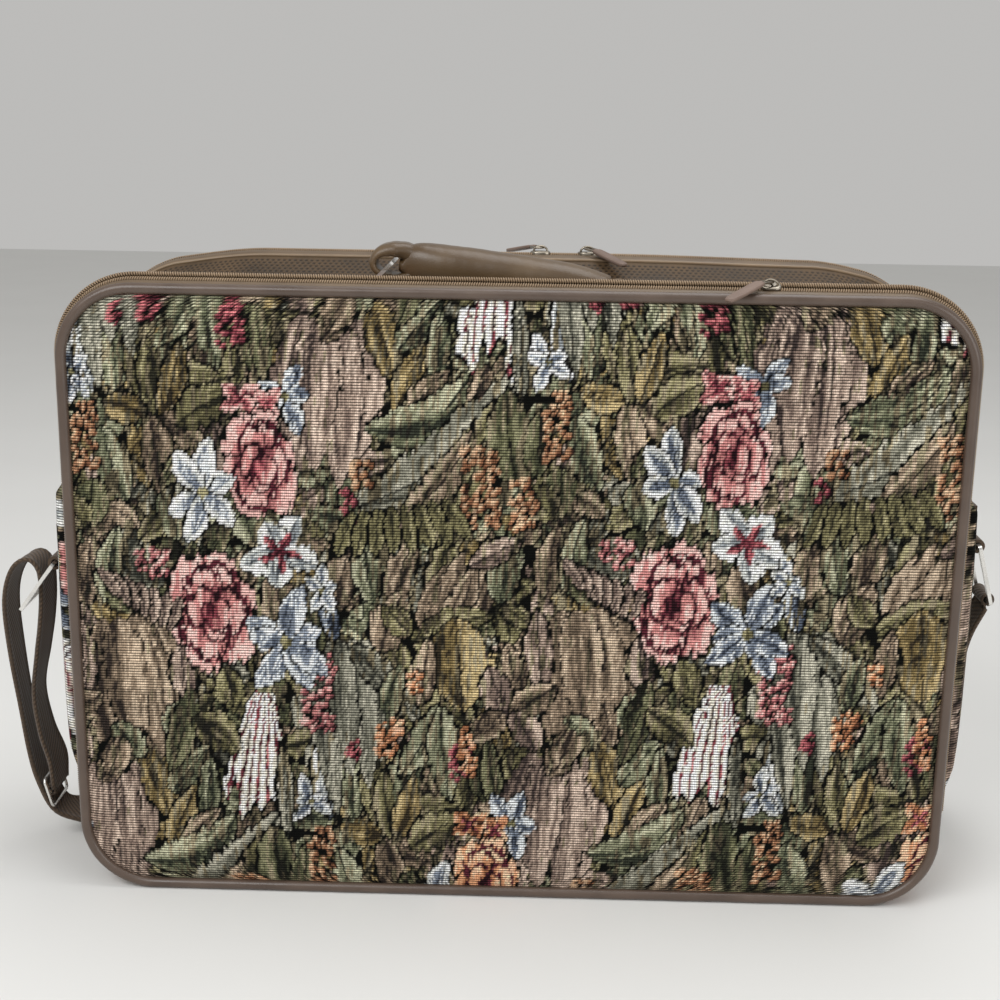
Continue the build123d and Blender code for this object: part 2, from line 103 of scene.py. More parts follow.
class Nodes:
    """Short way to build a node tree."""

    def __init__(self, name):
        self.material = bpy.data.materials.new(name)
        self.material.use_nodes = True
        self.tree = self.material.node_tree
        self.shader = self.tree.nodes["Principled BSDF"]

    def put(self, socket, value):
        if isinstance(value, bpy.types.NodeSocket):
            self.tree.links.new(value, socket)
        else:
            socket.default_value = value

    def node(self, kind, inputs, output=0, **values):
        """A new node with its inputs set or linked; gives one of its outputs."""
        node = self.tree.nodes.new(kind)
        for key, value in values.items():
            setattr(node, key, value)
        for key, value in inputs.items():
            self.put(node.inputs[key], value)
        return node.outputs[output]

    def math(self, operation, a, b=0.0):
        return self.node("ShaderNodeMath", {0: a, 1: b}, operation=operation)

    def plus(self, a, b):
        return self.math("ADD", a, b)

    def times(self, a, b):
        return self.math("MULTIPLY", a, b)

    def split(self, vector):
        """A vector and its parts."""
        node = self.node("ShaderNodeSeparateXYZ", {0: vector}).node
        return vector, *node.outputs[:3]

    def uv(self):
        """The layout as a vector, and its measures along and across."""
        return self.split(self.node("ShaderNodeUVMap", {}, uv_map="UVMap"))[:3]

    def place(self):
        return self.node("ShaderNodeTexCoord", {}, "Object")

    def noise(self, vector, scale, detail=2.0, rough=0.5):
        inputs = {"Vector": vector, "Scale": scale, "Detail": detail, "Roughness": rough}
        return self.node("ShaderNodeTexNoise", inputs, "Fac")

    def wave(self, value, pitch):
        """A wave from 0 to 1 along a length in metres."""
        turned = self.times(value, 2 * math.pi / pitch)
        return self.times(self.plus(self.math("SINE", turned), 1.0), 0.5)

    def span(self, value, low, high, to_low=0.0, to_high=1.0):
        return self.node("ShaderNodeMapRange", {0: value, 1: low, 2: high, 3: to_low, 4: to_high})

    def mix(self, factor, a, b, blend="MIX"):
        return self.node("ShaderNodeMix", {0: factor, 6: a, 7: b}, 2, data_type="RGBA", blend_type=blend)

    def stretch(self, vector, scale):
        return self.node("ShaderNodeMapping", {"Vector": vector, "Scale": scale})

    def bump(self, height, strength, distance):
        inputs = {"Height": height, "Strength": strength, "Distance": distance}
        self.put(self.shader.inputs["Normal"], self.node("ShaderNodeBump", inputs))

    def set(self, **values):
        names = {"colour": "Base Color", "rough": "Roughness", "metal": "Metallic", "sheen": "Sheen Weight",
                 "sheen_rough": "Sheen Roughness", "coat": "Coat Weight", "coat_rough": "Coat Roughness",
                 "specular": "Specular IOR Level"}
        for key, value in values.items():
            self.put(self.shader.inputs[names[key]], value)
        return self.material


def tapestry_material():
    """Woven picture: colours from the mesh, ribs and warp threads from the surface's own measures, with painted
    shade in the grooves between them.
    """
    n = Nodes("tapestry")
    flat, along, across = n.uv()
    tint = n.node("ShaderNodeVertexColor", {}, layer_name="tint")
    rib = n.wave(across, RIB * MM)
    warp = n.wave(along, WARP * MM)
    grain = n.noise(n.stretch(flat, (900, 620, 1)), 1.0, 2.0, 0.6)
    # Painted shade: the colour is darkened in the grooves between ribs (down to a tenth) and between warp threads,
    # along with the bump of the same ribs.
    gap = n.span(rib, 0.08, 0.52, 0.1, 1.0)
    thread = n.span(warp, 0.0, 0.6, 0.72, 1.0)
    light = n.times(n.times(gap, thread), n.span(grain, 0.25, 0.75, 0.62, 1.45))
    shade = n.node("ShaderNodeCombineColor", {0: light, 1: light, 2: light})
    colour = n.mix(1.0, tint, shade, "MULTIPLY")
    height = n.plus(rib, n.times(n.plus(warp, grain), 0.3))
    n.bump(height, 0.55, 0.0004)
    return n.set(colour=colour, rough=n.span(grain, 0.2, 0.8, 0.75, 0.95), sheen=0.02, sheen_rough=0.5,
                 specular=0.07)


def vinyl_material(name, dark, pale, rough=0.42, grain_scale=1500.0, coat=0.0, grain=0.18):
    """Soft vinyl with a fine grain, paler where it is rubbed."""
    n = Nodes(name)
    place = n.place()
    fine = n.noise(place, grain_scale, 3.0, 0.6)
    broad = n.noise(place, 32.0, 3.0, 0.55)
    colour = n.mix(n.span(broad, 0.35, 0.75, 0.0, 0.5), rgba(dark), rgba(pale))
    n.bump(fine, grain, 0.0003)
    return n.set(colour=colour, rough=n.span(broad, 0.3, 0.7, rough - 0.06, rough + 0.1), coat=coat, coat_rough=0.3,
                 specular=0.45)


def embossed_material(name, dark, pale, pit):
    """Vinyl pressed with rows of pits, which get painted shade: their colour is darker than the ridges between them.
    """
    n = Nodes(name)
    _, along, across = n.uv()
    step, pitch = PIT_STEP * MM, PIT_ROW * MM
    row = n.math("FLOOR", n.math("DIVIDE", across, pitch))
    shift = n.times(n.math("MODULO", row, 2.0), step / 2)
    near = n.math("SUBTRACT", n.math("MODULO", n.plus(along, shift), step), step / 2)
    far = n.math("SUBTRACT", n.math("MODULO", across, pitch), pitch / 2)
    away = n.math("SQRT", n.plus(n.times(near, near), n.times(far, far)))
    inside = n.times(n.span(away, 0.0006, 0.00135, 1.0, 0.0), n.math("LESS_THAN", across, PIT_END * MM))
    broad = n.noise(n.place(), 40.0, 3.0, 0.55)
    ridge = n.mix(n.span(broad, 0.35, 0.7), rgba(dark), rgba(pale))
    n.bump(n.noise(n.place(), 1500.0, 3.0, 0.6), 0.15, 0.0003)
    # Painted shade in the pits: they take the dark pit colour at 85 %.
    return n.set(colour=n.mix(n.times(inside, 0.85), ridge, rgba(pit)), rough=n.span(broad, 0.3, 0.7, 0.45, 0.6),
                 specular=0.25)


def woven_material(name, dark, pale, pitch_along, pitch_across):
    """Narrow woven tape or webbing: ribs along and across its length, with fuzz."""
    n = Nodes(name)
    _, along, across = n.uv()
    twill = n.plus(n.math("DIVIDE", along, pitch_along), n.math("DIVIDE", across, pitch_across))
    weave = n.wave(twill, 1.0)
    cross = n.wave(across, pitch_across * 0.5)
    fuzz = n.noise(n.place(), 1800.0, 2.0, 0.6)
    broad = n.noise(n.place(), 45.0, 2.0, 0.5)
    light = n.plus(n.times(weave, 0.55), n.times(n.plus(fuzz, broad), 0.25))
    colour = n.mix(light, rgba(dark), rgba(pale))
    n.bump(n.plus(weave, n.times(n.plus(cross, fuzz), 0.3)), 0.5, 0.0004)
    return n.set(colour=colour, rough=0.8, sheen=0.2, sheen_rough=0.5, specular=0.25)


def cloth_material(name, dark, pale, pitch=0.0012):
    """Plain weave taken from the object's own place, for pieces without a layout."""
    n = Nodes(name)
    place = n.place()
    _, x, y, z = n.split(place)
    threads = n.times(n.wave(n.plus(x, y), pitch), n.wave(z, pitch))
    broad = n.noise(place, 40.0, 3.0, 0.5)
    colour = n.mix(n.times(n.plus(threads, broad), 0.5), rgba(dark), rgba(pale))
    n.bump(threads, 0.35, 0.0003)
    return n.set(colour=colour, rough=n.span(broad, 0.3, 0.7, 0.75, 0.92), specular=0.25)


def metal_material(name, dark, pale, rough):
    """Plated metal with rub marks and a little dulling."""
    n = Nodes(name)
    place = n.place()
    marks = n.noise(n.stretch(place, (60, 900, 900)), 1.0, 3.0, 0.6)
    broad = n.noise(place, 60.0, 3.0, 0.6)
    colour = n.mix(n.span(broad, 0.35, 0.7), rgba(dark), rgba(pale))
    n.bump(marks, 0.08, 0.0002)
    worn = n.plus(n.span(marks, 0.3, 0.7, rough - 0.06, rough + 0.08), n.span(broad, 0.4, 0.7, 0.0, 0.1))
    return n.set(colour=colour, metal=1.0, rough=worn)


TAPESTRY = tapestry_material()
VINYL = vinyl_material("vinyl", (76, 62, 53), (104, 87, 75), 0.33, coat=0.2)
# The band's last colour is the painted shade in its pits.
BAND = embossed_material("embossed_vinyl", (62, 49, 34), (86, 68, 48), (24, 18, 12))
GRIP = vinyl_material("grip_vinyl", (80, 62, 41), (108, 87, 59), 0.36, 1100.0, 0.15, grain=0.4)
BEAD = vinyl_material("bead_vinyl", (118, 99, 77), (148, 127, 101), 0.35)
FACING = vinyl_material("zip_facing", (92, 76, 58), (120, 101, 79), 0.42)
TAPE = cloth_material("zip_tape", (50, 40, 31), (78, 63, 49), 0.0011)
COIL = vinyl_material("zip_coil", (136, 114, 89), (168, 145, 117), 0.38, 900.0)
WEBBING = woven_material("webbing", (40, 31, 25), (106, 88, 71), 0.0031, 0.0046)
CHROME = metal_material("chrome", (206, 204, 200), (238, 236, 232), 0.24)
ZIP_METAL = metal_material("zip_metal", (132, 124, 112), (182, 174, 160), 0.26)
PULL = vinyl_material("pull_vinyl", (104, 86, 76), (142, 122, 110), 0.5)
LINING = cloth_material("lining", (60, 54, 48), (88, 80, 70))
BOARD = cloth_material("board", (70, 62, 52), (98, 88, 74), 0.002)


# Mesh helpers, in millimetres

def ease(share):
    share = np.clip(share, 0, 1)
    return share * share * (3 - 2 * share)


def slump(points):
    """The soft rear top corners sink and draw in a little, the right one more, as the photograph shows."""
    x, y, z = np.asarray(points, dtype=float).T
    share = ease((y + 10) / 45) * ease((z - 190) / 150)
    left, right = ease((-x - 160) / 100), ease((x - 182) / 78)
    sink = 9.0 * left + 10.5 * right + 2.2 * ease((x - 60) / 150)
    return np.column_stack([x + 7.0 * (left - right) * share, y, z - sink * share])


def make_piece(name, points, faces, material, body, layout=None, tint=None, hides=()):
    """A smooth mesh from points in millimetres, with its layout and colours, put on its body and slot."""
    mesh = bpy.data.meshes.new(name)
    mesh.from_pydata((slump(points) * MM).tolist(), [], faces)
    mesh.polygons.foreach_set("use_smooth", [True] * len(mesh.polygons))
    corner = np.empty(len(mesh.loops), dtype=int)
    mesh.loops.foreach_get("vertex_index", corner)
    if layout is not None:
        flat = np.asarray(layout, dtype=float) * MM
        mesh.uv_layers.new(name="UVMap").data.foreach_set("uv", flat[corner].ravel())
    if tint is not None:
        layer = mesh.color_attributes.new("tint", "FLOAT_COLOR", "POINT")
        layer.data.foreach_set("color", np.column_stack([tint, np.ones(len(tint))]).ravel())
    mesh.materials.append(material)
    mesh.update()
    piece = bpy.data.objects.new(name, mesh)
    scene.collection.objects.link(piece)
    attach(piece, body)
    if hides:
        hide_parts(*hides)
    return piece


def rows_of(*parts):
    """Numbers that belong together, such as x, y and z, as the rows of one table."""
    return np.stack(np.broadcast_arrays(*parts), axis=-1).reshape(-1, len(parts))


def lengths(points):
    """How far along a line of points each of them lies."""
    return np.concatenate([[0], np.cumsum(np.linalg.norm(np.diff(points, axis=0), axis=1))])


def unit(vectors):
    return vectors / np.linalg.norm(vectors, axis=1)[:, None]


def squared(guide, tangent):
    """Unit vectors of the guide's part that is square to the tangent."""
    return unit(guide - tangent * np.sum(guide * tangent, axis=1)[:, None])


def grid_faces(rows, columns, close_rows=False, close_columns=False, start=0, flip=False):
    """Quads of a grid of points that is stored row by row."""
    r = np.arange(rows if close_rows else rows - 1)
    c = np.arange(columns if close_columns else columns - 1)
    rr, cc = np.meshgrid(r, c, indexing="ij")
    up, right = (rr + 1) % rows, (cc + 1) % columns
    quads = rows_of(rr * columns + cc, rr * columns + right, up * columns + right, up * columns + cc) + start
    return (quads[:, ::-1] if flip else quads).tolist()


def capped_faces(rows, columns):
    """Quads of a tube of points, with a face over each end."""
    last = (rows - 1) * columns
    caps = [list(range(columns))[::-1], list(range(last, last + columns))]
    return grid_faces(rows, columns, close_columns=True) + caps


def over_top_path(start, step):
    """Points (x, z, normal x, normal z, run) of the outline from the left side over the top."""
    side, top = HEIGHT - RADIUS - start, WIDTH - 2 * RADIUS
    count = max(2, int(side / step))
    left = [(-HALF, start + side * i / count, -1.0, 0.0) for i in range(count)]
    turns = max(6, int(RADIUS * math.pi / 2 / step))
    for i in range(turns):
        a = math.pi / 2 * i / turns
        left.append((-HALF + RADIUS - RADIUS * math.cos(a), HEIGHT - RADIUS + RADIUS * math.sin(a),
                     -math.cos(a), math.sin(a)))
    count = max(2, int(top / step))
    rows = left + [(-HALF + RADIUS + top * i / count, HEIGHT, 0.0, 1.0) for i in range(count)]
    rows.append((HALF - RADIUS, HEIGHT, 0.0, 1.0))
    rows += [(-x, z, -nx, nz) for x, z, nx, nz in reversed(left)]
    path = np.array(rows)
    return np.column_stack([path, lengths(path[:, :2])])


def beside(path, place, out):
    """Points at a place along Y that stand out from a path."""
    return rows_of(path[:, 0] + path[:, 2] * out, place, path[:, 1] + path[:, 3] * out)


def ring_path(width, height, radius, z_mid, step):
    """Closed rounded rectangle: points (x, z, normal x, normal z)."""
    across, up = width / 2 - radius, height / 2 - radius
    corners = [(sx * across, z_mid + sz * up) for sx, sz in ((1, 1), (-1, 1), (-1, -1), (1, -1))]
    turns = max(8, int(radius * math.pi / 2 / step))
    rows = []
    for quarter, (cx, cz) in enumerate(corners):
        for i in range(turns + 1):
            a = math.pi / 2 * (quarter + i / turns)
            nx, nz = math.cos(a), math.sin(a)
            rows.append((cx + radius * nx, cz + radius * nz, nx, nz))
        # The straight run to the next corner, on the last normal
        dx, dz = np.subtract(corners[(quarter + 1) % 4], (cx, cz))
        count = max(2, int(math.hypot(dx, dz) / step))
        rows += [(cx + radius * nx + dx * i / count, cz + radius * nz + dz * i / count, nx, nz)
                 for i in range(1, count)]
    return np.array(rows)


def tucked(run):
    """1 at both ends of a run and 0 from 8 mm on: how far a zip dives into the seam."""
    return ease(1 - np.minimum(run, run.max() - run) / 8.0)


def strip(name, line, path, thickness, material, body, hides, shift=None, lift=None, tuck=False):
    """A strip that follows a path: line is its section as (y, out) points, and its thickness lies under it.

    A shift places the cloth's pattern, a lift shapes the outer side, and a tuck sinks both ends into the seam."""
    line = np.asarray(line, dtype=float)
    section = np.vstack([line, (line - (0, thickness))[::-1]])
    rows, columns = len(path), len(section)
    along = np.repeat(path[:, 4:5], columns, axis=1)
    across = np.repeat(lengths(section)[None, :], rows, axis=0)
    out = np.repeat(section[None, :, 1], rows, axis=0)
    if lift is not None:
        out = out + lift(along, across) * (np.arange(columns) < len(line))
    if tuck:
        out = out - (np.concatenate([line[:, 1], line[::-1, 1]])[None, :] + 0.6) * tucked(path[:, 4:5])
    points = rows_of(path[:, 0:1] + path[:, 2:3] * out, section[None, :, 0], path[:, 1:2] + path[:, 3:4] * out)
    layout = rows_of(along, across)
    tint = None if shift is None else paint(layout, shift)
    make_piece(name, points, capped_faces(rows, columns), material, body, layout, tint, hides)


def dense(line, step):
    """A line of (y, out) points with extra points about a step apart."""
    result = [line[0]]
    for a, b in zip(line, line[1:]):
        count = max(1, int(math.hypot(b[0] - a[0], b[1] - a[1]) / step))
        result += [(a[0] + (b[0] - a[0]) * i / count, a[1] + (b[1] - a[1]) * i / count)
                   for i in range(1, count + 1)]
    return result


def tube(name, centres, sides, radius, material, body, hides=(), closed=False, guide=(0.0, 1.0, 0.0),
         squeeze=1.0):
    """A round tube through points, with its own along/around layout; the guide says where its first side lies."""
    centres = np.asarray(centres, dtype=float)
    count = len(centres)
    after, before = np.roll(centres, -1, axis=0), np.roll(centres, 1, axis=0)
    if not closed:
        after[-1], before[0] = centres[-1], centres[0]
    tangent = unit(after - before)
    first = squared(np.broadcast_to(guide, centres.shape), tangent)
    second = squeeze * np.cross(tangent, first)
    angle = np.arange(sides) * 2 * math.pi / sides
    size = np.broadcast_to(np.asarray(radius, dtype=float), (count,))
    around = np.cos(angle)[None, :, None] * first[:, None, :] + np.sin(angle)[None, :, None] * second[:, None, :]
    points = (centres[:, None, :] + size[:, None, None] * around).reshape(-1, 3)
    layout = rows_of(lengths(centres)[:, None], (angle * np.mean(size))[None, :])
    faces = grid_faces(count, sides, True, True) if closed else capped_faces(count, sides)
    make_piece(name, points, faces, material, body, layout, None, hides)


# Tapestry: a drawn floral pattern that repeats with a half drop

PALETTES = {name: linear(colours) for name, colours in {
    "olive": [(49, 48, 37), (95, 90, 64), (127, 121, 87), (162, 154, 118)],
    "moss": [(36, 37, 29), (71, 73, 55), (101, 101, 74), (136, 134, 103)],
    "sage": [(56, 60, 49), (103, 106, 83), (137, 138, 112), (175, 174, 147)],
    "grey": [(61, 62, 55), (105, 104, 91), (140, 138, 123), (177, 173, 156)],
    "taupe": [(60, 51, 46), (112, 97, 81), (148, 129, 109), (186, 166, 143)],
    "mauve": [(71, 60, 57), (124, 106, 96), (160, 140, 126), (195, 174, 158)],
    "ochre": [(63, 54, 40), (115, 99, 65), (148, 129, 89), (183, 163, 120)],
    "shade": [(42, 40, 35), (88, 81, 64), (122, 112, 89), (157, 146, 119)],
    "pink": [(92, 48, 56), (152, 90, 92), (194, 130, 126), (220, 174, 166)],
    "wine": [(50, 22, 30), (96, 42, 52), (142, 70, 78), (190, 112, 114)],
    "peach": [(101, 64, 47), (171, 114, 80), (204, 147, 110), (225, 180, 148)],
    "berry": [(76, 48, 38), (138, 94, 68), (176, 132, 100), (206, 172, 140)],
    "cream": [(97, 85, 78), (165, 155, 142), (208, 201, 186), (236, 232, 220)],
    "blue": [(43, 49, 61), (86, 94, 108), (125, 133, 145), (200, 204, 206)],
    "frost": [(77, 82, 88), (138, 143, 146), (192, 194, 190), (230, 229, 221)],
}.items()}
GROUND = linear([(7, 8, 6), (18, 19, 15)])
WOVEN_ROWS = 2048  # rows after which the rows' own differences start again
SPREAD = 90.0  # how far outside the cloth a motif may start, mm


def value_noise(u, v, seed):
    """Smooth noise from 0 to 1 on a unit grid."""
    table = np.random.default_rng(seed).random((64, 64))
    iu, iv = np.floor(u).astype(int), np.floor(v).astype(int)
    fu, fv = ease(u - iu), ease(v - iv)
    a, b = table[iu % 64, iv % 64], table[(iu + 1) % 64, iv % 64]
    c, d = table[iu % 64, (iv + 1) % 64], table[(iu + 1) % 64, (iv + 1) % 64]
    return (a * (1 - fu) + b * fu) * (1 - fv) + (c * (1 - fu) + d * fu) * fv


class Cloth:
    """Paints motifs on points of the cloth, given in millimetres (u to the right, v up)."""

    def __init__(self, u, v):
        # Each woven row starts a little further on, which makes the edges ragged
        self.row = np.floor(v / RIB).astype(int)
        ragged = np.random.default_rng(7).random(WOVEN_ROWS)[self.row % WOVEN_ROWS] - 0.5
        self.u, self.v = u + 0.9 * ragged, v
        # Weavers shade by streaks: a hatch that is long up and down and narrow across
        self.hatch = value_noise(u / 1.35, v / 8.0, 3) * 0.65 + value_noise(u / 3.1, v / 19.0, 5) * 0.35
        self.weft = value_noise(u / 1.2, v / 13.0, 13)
        base = value_noise(u / 2.0, v / 6.0, 9)[:, None]
        self.tint = GROUND[0] * (1 - base) + GROUND[1] * base
        self.low = self.u.min() - SPREAD, self.v.min() - SPREAD
        self.high = self.u.max() + SPREAD, self.v.max() + SPREAD

    def repeats(self, u0, v0, shift):
        """Places of a motif on the cloth, each with 1 where its drop is odd."""
        for drop in range(-3, 4):
            for step in range(-4, 5):
                u = u0 + REPEAT[0] * step + DROP[0] * drop + shift[0]
                v = v0 + REPEAT[1] * step + DROP[1] * drop + shift[1]
                if self.low[0] < u < self.high[0] and self.low[1] < v < self.high[1]:
                    yield u, v, drop % 2

    def near(self, u, v, reach):
        return np.flatnonzero((np.abs(self.u - u) < reach) & (np.abs(self.v - v) < reach))

    def lay(self, index, tone, palette, streak=0.9, mixed=0.0):
        """Colour points by tone from 0 (dark) to 1 (pale), in streaks; mixed is the share of shade threads."""
        colours = PALETTES[palette]
        broken = np.clip(tone + (self.hatch[index] - 0.5) * streak, 0, 0.999)
        step = np.floor(broken * len(colours)).astype(int)
        tint = colours[step]
        other = self.weft[index] < mixed
        tint[other] = PALETTES["shade"][step[other]]
        self.tint[index] = tint

    def shadow(self, index):
        """The dark ground that shows round a motif."""
        deep = self.hatch[index][:, None]
        self.tint[index] = GROUND[0] * (1 - deep) + GROUND[1] * deep

    def petal(self, u, v, angle, length, half, palette, bend=0.0, tip=0.9, pale_edge=0.2, rib=True, streaks=0.0,
              gap=1.6, mixed=0.0):
        """A leaf or petal from its base at (u, v), with a dark gap round it."""
        reach = length * 1.1 + half + gap
        index = self.near(u + 0.5 * length * math.cos(angle), v + 0.5 * length * math.sin(angle), reach * 0.75)
        if not len(index):
            return
        du, dv = self.u[index] - u, self.v[index] - v
        along = (du * math.cos(angle) + dv * math.sin(angle)) / length
        across = -du * math.sin(angle) + dv * math.cos(angle) - bend * length * (along - along * along)
        s = np.clip(along, 0, 1)
        width = half * np.sin(math.pi * s ** tip) ** 0.7 * (0.7 + 0.6 * self.hatch[index])
        if gap:
            spread = gap * (0.35 + 1.3 * self.weft[index])
            around = (along > -0.02) & (along < 1.04) & (np.abs(across) < width + spread)
            around &= self.hatch[index] > 0.28
            self.shadow(index[around])
        inside = (along > 0) & (along < 1) & (np.abs(across) < width)
        index, s, side = index[inside], s[inside], across[inside]
        t = side / np.maximum(width[inside], 1e-6)
        tone = 0.46 + 0.14 * s + np.where(t > 0, 0.09, -0.09) + pale_edge * np.abs(t) ** 3
        if streaks:
            tone = tone + 0.9 * (value_noise(t * streaks + 17 + u * 0.31, s * 2.2 + v * 0.17, 41) - 0.5)
        if rib:
            tone = np.where((np.abs(side) < 0.03 * half + 0.35) & (self.hatch[index] > 0.35), 0.1, tone)
            tone = tone - 0.12 * (np.sin((s * 5 - np.abs(t) * 1.5) * 2 * math.pi) > 0.5)
        self.lay(index, tone, palette, 0.6, mixed)

    def flower(self, u, v, size, palette, petals, turned, lean):
        """Open flower: uneven petals with dark red roots."""
        for k in range(petals):
            angle = turned + 2 * math.pi * k / petals + 0.2 * math.sin(2.9 * k + v)
            long = size * (0.84 + 0.3 * abs(math.sin(1.9 * k + u)))
            self.petal(u, v, angle, long, size * 0.36, palette, 0.15, lean, 0.4, False, 4.0, 0.9)
        for k in range(petals):
            angle = turned + 2 * math.pi * (k + 0.1) / petals
            self.petal(u, v, angle, size * 0.6, size * 0.12, "wine", 0.15, 1.0, 0.0, False, 3.0, 0.0)

    def star(self, u, v, size, petals, turned, palette):
        """Lily: long pale petals, ragged and streaked with blue-grey."""
        for k in range(petals):
            angle = turned + 2 * math.pi * k / petals + 0.3 * math.sin(2.3 * k + u)
            upright = 0.62 + 0.62 * abs(math.sin(angle))
            long = size * upright * (0.82 + 0.3 * abs(math.sin(1.7 * k + 0.4)))
            self.petal(u, v, angle, long, size * 0.27, palette, 0.15, 1.05, 0.5, False, 4.5, 1.1)
            self.petal(u, v, angle + 0.06, long * 0.84, size * 0.15, "blue", 0.15, 1.1, 0.1, False, 4.0, 0.0)
        index = self.near(u, v, size * 0.16)
        close = np.hypot(self.u[index] - u, self.v[index] - v) < size * 0.13
        self.lay(index[close], 0.3 + 0.5 * self.hatch[index[close]], "olive")

    def rose(self, u, v, wide, high, palette):
        """Full rose: uneven rings of broad folded petals, pale at the rim and deep at the root."""
        turned = 0.3
        for ring, (count, far, size) in enumerate(((6, 0.62, 0.52), (5, 0.4, 0.42), (4, 0.2, 0.32))):
            for k in range(count):
                angle = turned + 0.7 * ring + 2 * math.pi * (k + 0.3 * math.sin(3.1 * k + ring)) / count
                swell = 0.82 + 0.34 * abs(math.sin(2.1 * k + 1.3 * ring + turned))
                pu, pv = u + far * wide / 2 * math.cos(angle), v + far * high / 2 * math.sin(angle)
                rw, rh = size * swell * wide / 2, size * swell * high / 2
                index = self.near(pu, pv, max(rw, rh) * 1.3)
                du, dv = (self.u[index] - pu) / rw, (self.v[index] - pv) / rh
                r = np.hypot(du, dv) / (0.72 + 0.56 * self.hatch[index])
                outward = du * math.cos(angle) + dv * math.sin(angle)
                rim = index[r < (1.24 if ring else 1.12)]
                if ring:
                    self.lay(rim, 0.02 + 0.45 * self.weft[rim], "wine", 0.3)
                else:
                    self.shadow(rim)
                inside = r < 1.0
                tone = 0.56 + 0.38 * outward[inside] + 0.35 * (self.weft[index[inside]] - 0.5)
                self.lay(index[inside], tone, palette, 0.6)
                root = inside & (outward < -0.3) & (self.weft[index] < 0.55)
                self.lay(index[root], 0.2 + 0.4 * self.hatch[index[root]], "wine")
        index = self.near(u, v, wide * 0.09)
        self.lay(index, 0.1 + 0.7 * self.hatch[index], "wine")

    def berries(self, u, v, wide, high, palette, seed):
        """A bunch of small ragged berries with dark gaps."""
        size = 2.0
        rng = np.random.default_rng(seed)
        count = max(8, int(wide * high / (size * size * 3.0)))
        for _ in range(count):
            bu = u + (rng.random() - 0.5) * wide
            bv = v + (rng.random() - 0.5) * high
            r = size * (0.7 + 0.6 * rng.random())
            index = self.near(bu, bv, r * 1.5)
            du, dv = self.u[index] - bu, self.v[index] - bv
            away = np.hypot(du, dv) / (r * (0.75 + 0.5 * self.hatch[index]))
            self.shadow(index[(away < 1.4) & (du > -0.3 * r)])
            inside = away < 1
            tone = 0.58 + 0.28 * dv / r - 0.25 * (du / r)
            self.lay(index[inside], tone[inside], palette, 0.9)

    def fan(self, u, v, angle, length, half, palette, second, stripes):
        """A drape: uneven stripes that spread from its gathered end, with ragged tips."""
        middle = u + 0.5 * length * math.cos(angle), v + 0.5 * length * math.sin(angle)
        index = self.near(*middle, length * 0.6 + half)
        if not len(index):
            return
        du, dv = self.u[index] - u, self.v[index] - v
        along = (du * math.cos(angle) + dv * math.sin(angle)) / length
        across = -du * math.sin(angle) + dv * math.cos(angle)
        s = np.clip(along, 0, 1)
        width = half * (0.3 + 0.7 * np.sin(math.pi * 0.66 * s)) * (0.85 + 0.3 * self.hatch[index])
        t = across / np.maximum(width, 1e-6)
        lane = t * stripes / 2
        ends = 0.62 + 0.38 * value_noise(lane * 1.3 + 5, s * 0 + u * 0.1, 43)
        self.shadow(index[(along > 0) & (along < ends + 0.04) & (np.abs(t) < 1.1)])
        inside = (along > 0) & (along < ends) & (np.abs(t) < 1)
        index, s, lane = index[inside], s[inside], lane[inside]
        bar = np.abs((lane + 0.5 * value_noise(lane * 0.7 + 3, s * 3 + u * 0.05, 47)) % 1 - 0.5) * 2
        self.lay(index, 0.45 + 0.55 * bar, palette, 0.5)
        seam = bar < 0.2 + 0.25 * self.weft[index]
        self.lay(index[seam], 0.15 + 0.6 * self.hatch[index[seam]], second, 0.6)

    def finish(self):
        """Woven rows differ a little, and so does the dye."""
        rng = np.random.default_rng(11)
        rows = 0.84 + 0.32 * rng.random(WOVEN_ROWS)
        dye = 0.88 + 0.24 * value_noise(self.u / 38, self.v / 30, 21)
        speck = 0.8 + 0.4 * rng.random(len(self.u))
        middle, contrast, gain = 0.13, 0.2, 1.08
        depth = (np.mean(self.tint, axis=1) / middle) ** contrast
        return np.clip(self.tint * (gain * depth * rows[self.row % WOVEN_ROWS] * dye * speck)[:, None], 0, 1)


def leaf_field():
    """Sprays of leaves that fill the ground of one repeat, as (u, v, angle, length, half, palette, bend)."""
    rng = np.random.default_rng(23)
    names = ["olive", "taupe", "sage", "mauve", "ochre", "moss", "grey", "taupe", "olive", "sage"]
    stems, leaves = [], []
    tile = np.array((REPEAT[0], DROP[1]))
    for _ in range(70):
        tries = rng.random((14, 2)) * tile
        if stems:
            gap = np.abs(tries[:, None, :] - np.array(stems)[None, :, :])
            gap = np.minimum(gap, tile - gap)
            tries = tries[np.argmax(np.min(np.hypot(gap[..., 0], gap[..., 1]), axis=1))][None]
        stems.append(tuple(tries[0]))
    for u, v in stems:
        first = rng.random() * 2 * math.pi
        name = names[rng.integers(len(names))]
        for k in range(int(rng.integers(4, 7))):
            length = 21 + 21 * rng.random()
            other = names[rng.integers(len(names))]
            leaves.append((u, v, first + 1.05 * k + 0.5 * rng.random(), length,
                           length * (0.21 + 0.13 * rng.random()), name if rng.random() < 0.6 else other,
                           0.5 * (rng.random() - 0.5)))
    return leaves


FIELD = leaf_field()


# Motifs, laid in this order, by pixels of the photograph; a bunch of berries takes its seed from its place here:
# leaf, drape: base, tip, half width, palette, then a leaf's bend or a drape's streaks
# fan: gathered end, tips, half width, palette, seams' palette, stripes
# fern: first leaf, last leaf, leaves, their length, palette
# berries, rose: middle, width, height, palette
# star: middle, size, petals, turn, palette
# flower: middle, size, palette, petals, turn, lean
PIXEL = 1.76  # pixels to a millimetre of the front cloth
# Palettes that change on every other drop
CHANGING = {"bloom": ("pink", "peach"), "fruit": ("peach", "wine")}
